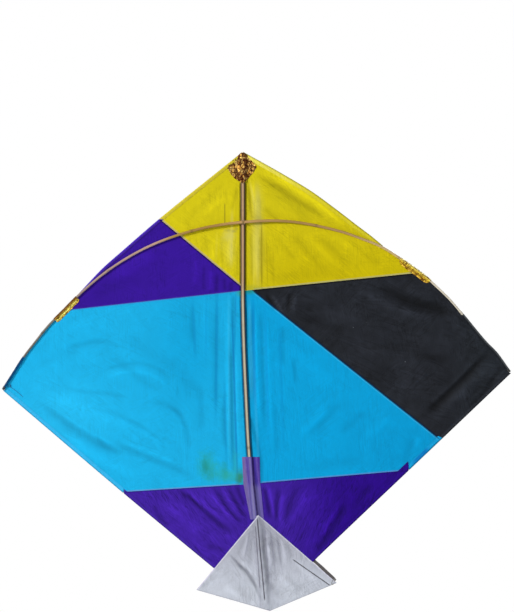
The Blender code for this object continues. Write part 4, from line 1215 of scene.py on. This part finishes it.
def build_bow(name, tip, knots, side, *nodes):
    """One half of the bow; knots are distances from the middle."""
    path, lateral, back = bow_path(0.0, tip, 2.6)
    along = distances(path)
    is_left = side == "left"
    angle = 2 * math.pi * (np.arange(BOW_SIDES) + 0.5) / BOW_SIDES
    powers = np.abs(np.cos(angle)) ** SQUARENESS + np.abs(np.sin(angle)) ** SQUARENESS
    square = 1.0 / np.maximum(powers, 0.2) ** (1 / SQUARENESS)
    loops, zone, grain = [], [], []
    for i, centre in enumerate(path):
        radius = bow_radius(centre[0]) * (1 + 0.05 * noise.noise((along[i] / 24, 2, is_left)))
        bulge = sum(0.16 * bell(along[i], knot, 2.4) for knot in knots)
        ring = sum(bell(along[i], knot, 0.9) for knot in knots)
        radii = radius * (0.55 + 0.45 * np.minimum(square, 1.2)) * 0.98 * (1 + bulge)
        loops.append(centre + radii[:, None] * (np.cos(angle)[:, None] * lateral[i]
                                                + np.sin(angle)[:, None] * back[i]))
        colour = np.array([np.interp(centre[0], BOW_TONES[:, 0], channel)
                           for channel in bow_colours.T])
        zone.append(np.tile(colour * (1 - 0.45 * min(ring, 1.0)), (BOW_SIDES, 1)))
        grain.append(np.column_stack([np.full(BOW_SIDES, along[i]), angle * radius,
                                      np.full(BOW_SIDES, 5.0 * is_left)]))
    obj = loft(name, loops, bamboo_pale, np.array(zone), np.array(grain), angle=60)
    attach(obj, "bamboo", side, *nodes)


build_bow("bow_stick_left", -288.0, (62, 175, 283), "left", "bow_left", "bow_centre")
build_bow("bow_stick_right", 320.6, (88, 196, 296), "right", "bow_right")

# across as a share of the half width, y
SPINE_PROFILE = np.array([
    (-.58, 0), (-.3, -.02), (0, -.03), (.3, -.02), (.58, 0), (.78, .12), (.92, .36), (1, .8),
    (1, 1.3), (.9, 1.65), (.7, 1.8), (0, 1.8), (-.7, 1.8), (-.9, 1.65), (-1, 1.3), (-1, .8),
    (-.92, .36), (-.78, .12)])
SPINE_KNOTS = (28, -108, -256, -392)      # z


def build_spine():
    across, height = SPINE_PROFILE.T
    loops, zone, grain = [], [], []
    for z in np.r_[np.arange(98, -437.4, -3.0), -437.4]:
        half = 2.6 * (1 - 0.14 * (98 - z) / 535.4) * (1 + 0.035 * noise.noise((z / 18, 0, 9)))
        bulge = sum(bell(z, knot, 2.2) for knot in SPINE_KNOTS)
        ring = sum(bell(z, knot, 0.9) for knot in SPINE_KNOTS)
        u = across * half * (1 + 0.07 * bulge)
        y = height - 0.05 * bulge * (height < 0.5)
        loops.append(np.column_stack([spine_x(z) + u, y, np.full(len(u), z)]))
        # brown above and greyer below; the dark flanks are the bamboo's darker sides with painted
        # shade, teal like the shaded sail lower down
        low = smooth01((-50 - z) / 40)
        face = blend_colour(lin((186, 150, 112)), lin((190, 180, 156)), low)
        flank = blend_colour(lin((66, 42, 26)), lin((30, 42, 46)), low)
        dark = smooth01((np.abs(u + 0.1) - 0.75) / 0.9) * np.where(u > 0, 0.97, 0.96)
        colour = face[None, :] * (1 - dark)[:, None] + flank[None, :] * (dark * 0.8)[:, None]
        zone.append(colour * (1 - 0.4 * min(ring, 1.0)))
        grain.append(np.column_stack([np.full(len(u), z), across * 3 + height,
                                      np.zeros(len(u))]))
    attach(loft("spine_stick", loops, bamboo_mat, np.array(zone), np.array(grain)),
           "bamboo", "spine", "spine")


build_spine()

# ------------------------------------------------------------------ thread at the crossing and tips
thread_mat = thread("cotton_thread")
dark_thread = thread("dark_cotton_thread")


def build_lashing():
    """Crossed turns of thread round the bow and the spine, one continuous winding."""
    middle_z, middle_y = float(bow_z(0.0)), float(bow_y(0.0))
    points = []
    for turn in range(4):
        tilt = 1 if turn % 2 == 0 else -1
        shift = (turn - 1.5) * 0.42
        for k in range(24):
            angle = 2 * math.pi * k / 24
            # over the bow in front, round the back of the spine
            cosine, sine = math.cos(angle), math.sin(angle)
            y = min(middle_y - (2.1 if cosine > 0 else 4.3) * cosine, 2.05)
            x = tilt * 2.3 * sine * (0.9 if cosine > 0 else 1.0) + shift
            points.append((x + (turn + k / 24) * 0.02, y, middle_z + 2.35 * sine))
    obj = cord("lashing_thread", resample(points, 0.8), 0.23, thread_mat, (182, 150, 96), 7)
    attach(obj, "thread", "spine", "bow_lashing")


build_lashing()
TIP_TURNS, TIP_RADIUS = 4, 1.55


def wind_tip(side, start, end, tint):
    """Thread wound round the bow's end."""
    path, lateral, back = bow_path(start, end, 0.2)
    points = []
    for share in np.linspace(0, 1, TIP_TURNS * 16):
        place = share * (len(path) - 1)
        i = int(round(place))
        centre = np.array([np.interp(place, np.arange(len(path)), path[:, k]) for k in range(3)])
        angle = 2 * math.pi * TIP_TURNS * share
        points.append(centre + TIP_RADIUS * (math.cos(angle) * lateral[i]
                                             + math.sin(angle) * back[i]))
    obj = cord("tip_thread_" + side, points, 0.3, dark_thread, tint, 6)
    attach(obj, "dark_thread", side, "tip_binding_" + side)


wind_tip("left", SLEEVE_L[1] + 0.4, -287.7, (8, 34, 62))
wind_tip("right", SLEEVE_R[1] - 0.4, 320.3, (14, 14, 16))


# ------------------------------------------------------------------ paper rolled over the bow's ends
def sleeve(side, ends, outer, inner, material, slot):
    """A roll that starts behind the bow, goes round its front and ends on the sail side."""
    path, lateral, back = bow_path(*ends, 1.6)
    inward = toward_sail(lateral)
    count, sides = len(path), 22
    loops, zone = [], []
    # angle 0 faces the front; positive turns inward, towards the sail
    angle = np.radians(np.linspace(-150, 232, sides))
    for i in range(count):
        share = i / (count - 1)
        inner_radius = bow_radius(path[i, 0]) + 0.22
        flare = (1 + 0.10 * (1 - share) * noise.noise((i * 0.13, 3, 1))
                 + 0.05 * noise.noise((i * 0.4, 8, 1)))
        dents = 1 + 0.035 * np.array([noise.noise((i * 0.25, a * 1.4, 5)) for a in angle])
        radii = (inner_radius + np.linspace(0.0, 0.22, sides)) * flare * dents
        outward = np.sin(angle)[:, None] * inward[i] - np.cos(angle)[:, None] * back[i]
        skin = path[i] + radii[:, None] * outward
        under = path[i] + (radii - 0.13)[:, None] * outward
        loops.append(np.vstack([skin, under[::-1]]))
        # painted light and shade: the outer tint on the side away from the sail, the inner tint on
        # the side towards it, and the underside painted darker
        weight = smooth01((np.sin(angle) * radii + inner_radius) / (2 * inner_radius))
        colour = blend_colour(lin(outer), lin(inner), weight)
        zone.append(np.vstack([colour, colour[::-1] * 0.7]))
    attach(loft("sleeve_" + side, loops, material, np.array(zone)), slot, side,
           "bow_sleeve_" + side)


sleeve_blue = paper("paper_sleeve_blue", mottle=0.09, relief=0.6, rough=0.6)
sleeve_black = paper("paper_sleeve_black", mottle=0.12, relief=0.6, rough=0.5, fibre=0.12)
# the left sleeve's dark navy is cyan paper with the bow showing through and painted shade, darkest
# outside; the right one's pale grey outside is a painted highlight
sleeve("left", SLEEVE_L, (2, 48, 88), (2, 86, 138), sleeve_blue, "cyan_paper")
sleeve("right", SLEEVE_R, (96, 100, 104), (26, 29, 33), sleeve_black, "black_paper")

# ------------------------------------------------------------------ gold foil
foil_nose = foil("gold_foil_nose", cell=2.9, worn_share=0.46, gains=(0.75, 1.35),
                 under=(66, 18, 4), border=(0.04, 0.14))
foil_bow = foil("gold_foil_bow", cell=1.6, worn_share=0.22, stretch=2.2, gains=(0.95, 1.9),
                under=(112, 70, 8), border=(0.02, 0.08))


def over_spine(co, top, low, flat, out):
    """y of a paper lying flat over the spine and sloping to the sail beside it."""
    return top + (low - top) * smooth01((np.abs(from_spine(co)) - flat) / (out - flat))


NOSE_OUTLINE = [
    (2.2, 98.3), (-2.2, 98.3), (-11, 90.2), (-18.6, 82.4), (-18.4, 79.4), (-16.2, 75.6),
    (-13.4, 71.2), (-9.6, 67.2), (-6.4, 65.2), (-2.6, 62.8), (.2, 61.2), (2.6, 63), (5, 65.6),
    (9, 70.4), (12.8, 74.6), (16.3, 80.4), (16, 82.8), (9, 90.6)]


def build_nose_patch():
    def surface(co):
        depth, _ = sail_depth(co)
        free = smooth01((np.abs(from_spine(co)) - 4) / 5)
        y = over_spine(co, -0.42, SAIL - 0.42, 2.3, 7.0) + 0.8 * depth * free
        dents = crinkle(co, 2.6, 0.42, 15)
        return y - np.maximum(dents, -0.10), 0.25 * np.clip(-dents, -0.5, 0.5)

    def colour(co):
        # patches of painted highlight on the gold
        bright = smooth01((lumps(co, 3, 2) + 0.3) / 0.7)
        gold = blend_colour(lin((200, 140, 44)), lin((246, 204, 112)), bright)
        # a painted shadow band just right of the spine, on the shaded side of the ridge over it; a
        # darker band at x = -15
        dark = 0.85 * bell(co[:, 0], 2.9, 1.3) + 0.5 * bell(co[:, 0], -15, 3)
        return blend_colour(gold, lin((66, 22, 4)), np.clip(dark, 0, 1))

    obj = paper_sheet("nose_foil", NOSE_OUTLINE, foil_nose, colour, surface, thick=0.12,
                      spacing=0.8)
    attach(obj, "gold_foil", "spine", "nose_patch")


build_nose_patch()


def build_bow_foil(side, ends, tints, flange, taper):
    """Foil round the bow with a flange on the sail, flange wide at most. tints run round it;
    taper is (slope, base) of the flange's width at the start, then at the end."""
    path, lateral, back = bow_path(*ends, 0.7)
    inward = toward_sail(lateral)
    count = len(path)
    angles = np.radians(np.arange(-118, 96, 14.0))
    flat_shares = np.linspace(0.45, 1.0, 7)
    total = len(angles) + len(flat_shares)
    around_share = np.linspace(0, 1, total)
    base = np.column_stack([np.interp(around_share, np.linspace(0, 1, len(tints)), channel)
                            for channel in lin(tints).T])
    (start_slope, start_base), (end_slope, end_base) = taper
    loops, zones, grains = [], [], []
    for i in range(count):
        s = i / (count - 1)
        x = path[i, 0]
        radius = bow_radius(x) + 0.30
        end = min(1.0, s * start_slope + start_base, (1 - s) * end_slope + end_base)
        reach = (radius + (flange - radius) * math.sqrt(max(end * (2 - end), 0.02))
                 + 0.35 * noise.noise((i * 0.11, 2, 3)))
        depth, _ = sail_depth(np.array([[x, path[i, 2]]]) + 3.0 * inward[i][[0, 2]])
        floor = SAIL - 0.45 + depth[0]
        points = []
        for a in angles:
            dented = (radius * (1 + 0.10 * noise.noise((i * 0.22, a * 2, 4)))
                      + 0.10 * abs(noise.noise((i * 0.6, a * 4, 1))))
            points.append(path[i] + dented * (math.sin(a) * inward[i] - math.cos(a) * back[i]))
        for share in flat_shares:
            u = radius + (reach - radius) * share
            point = path[i] + u * inward[i]
            lift = (0.5 * abs(noise.noise((i * 0.16, u * 0.7, 6)))
                    + 0.25 * abs(noise.noise((i * 0.5, u * 1.6, 9))))
            weight = smooth01((share - 0.45) / 0.3)
            point[1] = point[1] * (1 - weight) + (floor - lift) * weight
            points.append(point)
        points = np.array(points)
        under = points.copy()
        under[:, 1] += 0.11
        wrap = points[:len(angles)]
        under[:len(angles)] = path[i] + (wrap - path[i]) * (1 - 0.11 / radius)
        loops.append(np.vstack([points, under[::-1]]))
        flicker = 1 + 0.5 * np.array([noise.noise((i * 0.3, k * 0.5, 8)) for k in range(total)])
        zone = base * flicker[:, None]
        zones.append(np.vstack([zone, zone[::-1] * 0.6]))
        around = np.r_[angles * radius, radius * angles[-1] + (reach - radius) * flat_shares]
        row = np.column_stack([np.full(total, i * 0.7), around,
                               np.full(total, 9.0 * (side == "left"))])
        grains.append(np.vstack([row, row[::-1]]))
    obj = loft("bow_foil_" + side, loops, foil_bow, np.array(zones), np.array(grains), angle=28)
    attach(obj, "gold_foil", side, "bow_patch_" + side)


# the tints round the bow are painted reflections: dark brown on the outer half, bright gold inside
# and on the flange
build_bow_foil("left", PATCH_L, [
    (60, 34, 6), (84, 48, 6), (74, 44, 4), (92, 58, 6), (170, 128, 30), (214, 184, 70),
    (232, 222, 112), (224, 190, 60), (150, 104, 20)], flange=5.6, taper=((5, 0.35), (8, 0.3)))
# painted reflections round the bow: dark at the outer edge, a pale cream highlight along the bow,
# then gold strands between darker lines on the flange
build_bow_foil("right", PATCH_R, [
    (110, 88, 24), (206, 190, 110), (240, 230, 160), (176, 140, 40), (255, 232, 96),
    (255, 218, 56), (120, 84, 10), (240, 200, 60), (214, 160, 66)],
    flange=6.4, taper=((3.2, 0.04), (6, 0)))


# ------------------------------------------------------------------ strip pasted over the lower spine
def build_strip():
    zs = np.arange(-267.0, -344.0, -3.0)
    stops = [-343, -300, -267]
    left_x = np.interp(zs, stops, [9.4, 0.8, -0.8])
    right_x = np.interp(zs, stops, [25.4, 21.2, 20.2])
    outline = np.vstack([np.column_stack([left_x, zs]), np.column_stack([right_x, zs])[::-1]])

    def surface(co):
        depth, shade = sail_depth(co)
        free = smooth01((np.abs(from_spine(co)) - 4) / 4)
        y = over_spine(co, -0.30, SAIL - 0.34, 2.4, 5.6) + 0.9 * depth * free
        fine = lumps(co * np.array([1.0, 0.2]), 1.9, 33)
        return y - 0.10 * fine, 0.10 * fine + 0.4 * shade

    def colour(co):
        u = from_spine(co)
        low = smooth01((-296 - co[:, 1]) / 10)
        c = blend_colour(lin((96, 80, 164)), lin((108, 100, 166)), low)
        c = blend_colour(c, lin((122, 104, 164)), smooth01((-4.5 - u) / 2) * (1 - 0.4 * low))
        # painted shade right of the spine, on the shaded side of the ridge the strip makes over it
        c = blend_colour(c, lin((64, 44, 156)), smooth01((u - 2.6) / 1.5) * (1 - low) * 0.8)
        return blend_colour(c, lin((116, 92, 184)), bell(u, 8.4, 1) * 0.8)

    material = paper("paper_strip", lines=[
        # dark lines just right of the spine: painted shadow of the spine under the strip
        (((11.6, -267), (13.2, -300)), .7, .9, (26, 10, 70), .85),
        (((13, -298), (18, -341)), .7, .9, (28, 14, 66), .85),
        (((4.6, -269), (7.5, -300)), .3, .8, (60, 40, 120), .5),
        (((7.5, -300), (11.5, -341)), .3, .8, (70, 56, 120), .5),
        (((8.2, -268), (14, -340)), .5, 1.2, (150, 144, 182), .45),
    ], mottle=0.10, fibre=0.08, streaks=0.16, relief=0.7,
        wrinkles=[(-84, 2.2, 36, .16, 31), (-80, 3, 30, .12, 32)])
    obj = paper_sheet("spine_paper_strip", outline, material, colour, surface, thick=0.12,
                      spacing=1.5)
    attach(obj, "strip_paper", "spine", "spine_strip")


build_strip()


# ------------------------------------------------------------------ tail fin
def fin_surface(co):
    depth, shade = folds(co, FIN_FOLDS)
    depth += 0.30 * lumps(co, 24, 41) + 0.12 * lumps(co, 8, 43) + crinkle(co, 11, 0.10, 47)
    shade += 0.035 * lumps(co, 9, 44) + 0.02 * lumps(co, 3.5, 45)
    free = smooth01((np.abs(from_spine(co)) - 2.2) / 7)
    y = -0.34 * (1 - free) + (2.0 + 0.9 * depth) * free
    sail, _ = sail_depth(co)
    y = np.where(co[:, 1] > SAIL_END - 3, np.minimum(y, SAIL + sail - 0.22), y)
    # raised where it lies over the ends of the tail hems
    for x, z in ((-32.8, -401.3), (82.0, -394.0)):
        y -= 0.5 * np.exp(-((co[:, 0] - x) ** 2 + (co[:, 1] - z) ** 2) / 12)
    # the step where the right side is folded over its splint, with painted light on the flap and
    # painted shadow beside its edge
    distance, share, side = near(co, [(60.6, -390), (104, -420.6)])
    step = np.exp(-(distance / 5)) * smooth01(share / 0.25)
    y -= 0.45 * step * (side > 0)
    shade += (0.07 * step * (side > 0)
              - 0.10 * np.exp(-(distance / 2)) * smooth01(share / 0.2) * (side <= 0))
    return y, shade


def silver(co):
    high = smooth01((co[:, 1] + 440) / 90)
    colour = blend_colour(lin((198, 203, 214)), lin((172, 174, 188)), high)
    u = from_spine(co)
    colour = blend_colour(colour, lin((140, 142, 156)), 0.5 * bell(u, -4.5, 2))
    # darker in blotches over the spine and to its right
    dark_blotches = bell(u, 6, 12) * (0.6 + 1.2 * lumps(co * np.array([1.0, 0.6]), 4.5, 51))
    return blend_colour(colour, lin((146, 148, 164)), np.clip(0.5 * dark_blotches, 0, 0.8))


silver_mat = paper("paper_silver", lines=[
    ((FIN_LEFT, FIN_APEX), .5, .5, (220, 216, 236), .8, -.6),
    ((FIN_APEX, FIN_RIGHT), .5, .5, (214, 212, 230), .7, -.6),
    (((17.4, -341.5), (26.2, -438)), .45, .6, (58, 52, 66), .85),
    (((15.2, -350), (20.6, -424)), .25, .6, (96, 92, 104), .7),
    # painted shadow along the edge of the folded flap
    (((60.6, -390.4), (104.4, -421)), .42, .45, (48, 46, 52), .92),
    ((FIN_LEFT, FIN_BOTTOM), .3, .6, (150, 152, 166), .6, .3),
    ((FIN_BOTTOM, FIN_RIGHT), .3, .6, (160, 162, 174), .6, .3),
    # darker lines along the creases: painted shade
    (((-14.4, -385.6), (-2, -399)), .3, 2, (122, 124, 138), .55, 0, 5),
    (((-5, -396.4), (6, -405.5)), .4, 2.6, (106, 108, 122), .5, 0, 4),
    (((4, -403.2), (17, -424.6)), .4, 3, (110, 112, 124), .45, 0, 5),
    (((13, -417), (21, -437)), .3, 2.4, (112, 114, 126), .4, 0, 5),
    (((26.5, -352), (31, -420)), .3, 1.4, (128, 128, 146), .5, 0, 12),
    (((33, -356), (39, -404)), .3, 1.4, (132, 132, 150), .5, 0, 12),
    (((41, -362), (46, -398)), .3, 1.4, (136, 138, 154), .45, 0, 10),
    (((8.5, -356), (3, -386)), .3, 1.4, (134, 136, 152), .45, 0, 8),
], mottle=0.07, fibre=0.09, streaks=0.08, relief=0.8,
    wrinkles=[(-86, 3.4, 34, .1, 33), (-52, 4.5, 30, .08, 34), (30, 5, 34, .07, 35)],
    rough=0.55, specular=0.2)


def build_fin():
    """Two halves that meet along the spine, down to its foot on the lower left edge."""
    zs = np.arange(-338.0, -450.0, -3.0)
    spine = np.column_stack([spine_x(zs), zs])
    foot_x = float(spine_x(-450.0)) + 0.6
    slope_z, slope_x = FIN_BOTTOM[1] - FIN_LEFT[1], FIN_BOTTOM[0] - FIN_LEFT[0]
    foot = [foot_x, FIN_LEFT[1] + slope_z * (foot_x - FIN_LEFT[0]) / slope_x]
    left_half = np.vstack([[FIN_APEX], [FIN_LEFT], [foot], spine[::-1]])
    right_half = np.vstack([[FIN_APEX], spine, [foot], [FIN_BOTTOM], [FIN_RIGHT]])
    for side, outline, nodes in (("left", left_half, ("tail_fin_left", "tail_fin_fold")),
                                 ("right", right_half, ("tail_fin_right",))):
        obj = paper_sheet("fin_paper_" + side, outline, silver_mat, silver, fin_surface,
                          thick=0.14, spacing=1.7, groups=FIN_FOLDS)
        attach(obj, "silver_paper", side, *nodes)


build_fin()
SPLINT_Y, SPLINT_THICK = 3.25, 0.9
# across as a share of the half width, back as a share of the thickness
SPLINT_PROFILE = [(-1, .3), (-.7, 0), (0, -.06), (.7, 0), (1, .3), (1, .7), (.7, 1), (0, 1.04),
                  (-.7, 1), (-1, .7)]


def splint(side, start, end, width, tint, bend=0.0):
    start, end = np.array(start), np.array(end)
    length = norm(end - start)
    count = 46
    forward = (end - start) / length
    across = np.array([-forward[1], forward[0]])
    colours = np.array([lin(tint) * (1.0 + 0.5 * (abs(u) > 0.9)) for u, _ in SPLINT_PROFILE])
    loops, grain = [], []
    for i in range(count):
        s = i / (count - 1)
        x, z = start + (end - start) * s + across * bend * math.sin(math.pi * s)
        half = (width / 2 * (1 + 0.08 * noise.noise((s * 9, 1, 2)))
                * (1 - 0.35 * smooth01((s - 0.96) / 0.04)))
        loops.append([[x + across[0] * u * half, SPLINT_Y + v * SPLINT_THICK,
                       z + across[1] * u * half] for u, v in SPLINT_PROFILE])
        grain.append([[s * length, u * 2, v] for u, v in SPLINT_PROFILE])
    obj = loft("fin_splint_" + side, loops, bamboo_dark, np.array([colours] * count),
               np.array(grain))
    attach(obj, "bamboo_dark", side, "fin_stiffener_" + side)


# painted shade: the splints' bamboo is tinted dark grey, as they lie in shade behind the fin
splint("left", (-2, -365), (-51.6, -424.6), width=2.5, tint=(96, 88, 82))
splint("right", (50, -363), (111.5, -415.4), width=3.8, tint=(84, 80, 80), bend=1.3)


def build_corner_loop():
    """A tilted oval of thread at the fin's right corner."""
    tilt = math.radians(-24)
    points = []
    for k in range(39):
        angle = 2 * math.pi * k / 40
        u, v = 1.5 * math.cos(angle), 3.6 * math.sin(angle)
        points.append((108.6 + u * math.cos(tilt) - v * math.sin(tilt),
                       1.2 - 0.7 * math.cos(angle),
                       -416.9 + u * math.sin(tilt) + v * math.cos(tilt)))
    attach(cord("fin_corner_loop", points, 0.38, thread_mat, (150, 150, 148), 8),
           "thread", "right")


THREAD_END = [(-281.6, -179.6), (-282.2, -181.6), (-280.8, -183.2), (-278.8, -182.6),
              (-278.4, -180.8), (-279.6, -180), (-279.2, -182.4), (-276.4, -184.6),
              (-270, -189.6), (-263.8, -195)]


def build_thread_end():
    """A loose end of thread lying on the sail at the left tip."""
    line = through(THREAD_END, 0.8)
    depth, _ = sail_depth(line)
    path = np.column_stack([line[:, 0], SAIL + depth - 0.42, line[:, 1]])
    attach(cord("tip_thread_end", path, 0.24, dark_thread, (6, 92, 150), 6),
           "dark_thread", "left")


build_corner_loop()
build_thread_end()

# ------------------------------------------------------------------ the wing pieces, their transforms baked into their meshes
# metres
for obj, side in wing_pieces:
    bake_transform(obj)

# ------------------------------------------------------------------ floor, light and camera (metres)
FLOOR_RADIUS, FLOOR_SIDES, FLOOR_Z = 0.9, 96, -0.52


def build_floor():
    g = Graph("floor_pale")
    position = g.node("ShaderNodeNewGeometry").outputs["Position"]
    color = g.mix(g.noise(position, 9, 4), (0.86, 0.86, 0.855), (0.91, 0.91, 0.905))
    material = g.finish(color, Roughness=0.7, Specular_IOR_Level=0.2)
    verts, faces = [(0, 0, 0)], []
    for k in range(FLOOR_SIDES):
        angle = 2 * math.pi * k / FLOOR_SIDES
        verts.append((FLOOR_RADIUS * math.cos(angle), FLOOR_RADIUS * math.sin(angle), 0))
        faces.append((0, k + 1, (k + 1) % FLOOR_SIDES + 1))
    mesh = bpy.data.meshes.new("floor")
    mesh.from_pydata(verts, [], faces)
    mesh.materials.append(material)
    obj = bpy.data.objects.new("floor", mesh)
    bpy.context.scene.collection.objects.link(obj)
    low, high = CAD_BOX
    obj.location = (((low + high) / 2).x, 0, FLOOR_Z)


build_floor()
LIGHT_TARGET = (0.0, 0, -0.17)


def area(name, location, size, energy, colour=(1, 1, 1)):
    data = bpy.data.lights.new(name, "AREA")
    data.shape = "DISK"
    data.size = size
    data.energy = energy
    data.color = colour
    obj = bpy.data.objects.new(name, data)
    bpy.context.scene.collection.objects.link(obj)
    obj.location = location
    obj.rotation_mode = "QUATERNION"
    aim = Vector(LIGHT_TARGET) - Vector(location)
    obj.rotation_quaternion = aim.to_track_quat("-Z", "Y")


area("key_light", (-2.05, -1.75, 0.75), size=0.55, energy=66.0, colour=(1.0, 0.99, 0.97))
area("fill_light", (1.6, -2.6, 0.4), size=1.8, energy=14.0, colour=(0.97, 0.98, 1.0))
area("back_light", (0.9, 2.2, 1.1), size=1.6, energy=34.0)

scene = bpy.context.scene


def build_world():
    """White to the camera, a softer light on the kite."""
    world = bpy.data.worlds.new("studio")
    scene.world = world
    world.use_nodes = True
    tree = world.node_tree
    tree.nodes.clear()
    out = tree.nodes.new("ShaderNodeOutputWorld")
    path = tree.nodes.new("ShaderNodeLightPath")
    mixer = tree.nodes.new("ShaderNodeMixShader")
    tree.links.new(path.outputs["Is Camera Ray"], mixer.inputs[0])
    backgrounds = (((0.97, 0.98, 1.0, 1.0), 0.32), ((1.0, 1.0, 1.0, 1.0), 1.0))
    for i, (colour, strength) in enumerate(backgrounds):
        background = tree.nodes.new("ShaderNodeBackground")
        background.inputs[0].default_value = colour
        background.inputs[1].default_value = strength
        tree.links.new(background.outputs[0], mixer.inputs[i + 1])
    tree.links.new(mixer.outputs[0], out.inputs[0])


build_world()
scene.view_settings.view_transform = "Standard"
scene.view_settings.look = "None"

# the camera looks straight at the front face from far off, so the outline stays true
CAMERA_DISTANCE = 6.0
VIEW_WIDTH = 0.7344                       # seen at the kite
SENSOR_WIDTH = 36.0


def build_camera():
    data = bpy.data.cameras.new("camera")
    data.sensor_width = SENSOR_WIDTH
    data.lens = SENSOR_WIDTH * CAMERA_DISTANCE / VIEW_WIDTH
    camera = bpy.data.objects.new("camera", data)
    scene.collection.objects.link(camera)
    camera.location = (0.01704, -CAMERA_DISTANCE, -0.0858)
    camera.rotation_euler = (math.radians(90), 0, 0)
    data.clip_start, data.clip_end = 0.1, 50.0
    scene.camera = camera


build_camera()
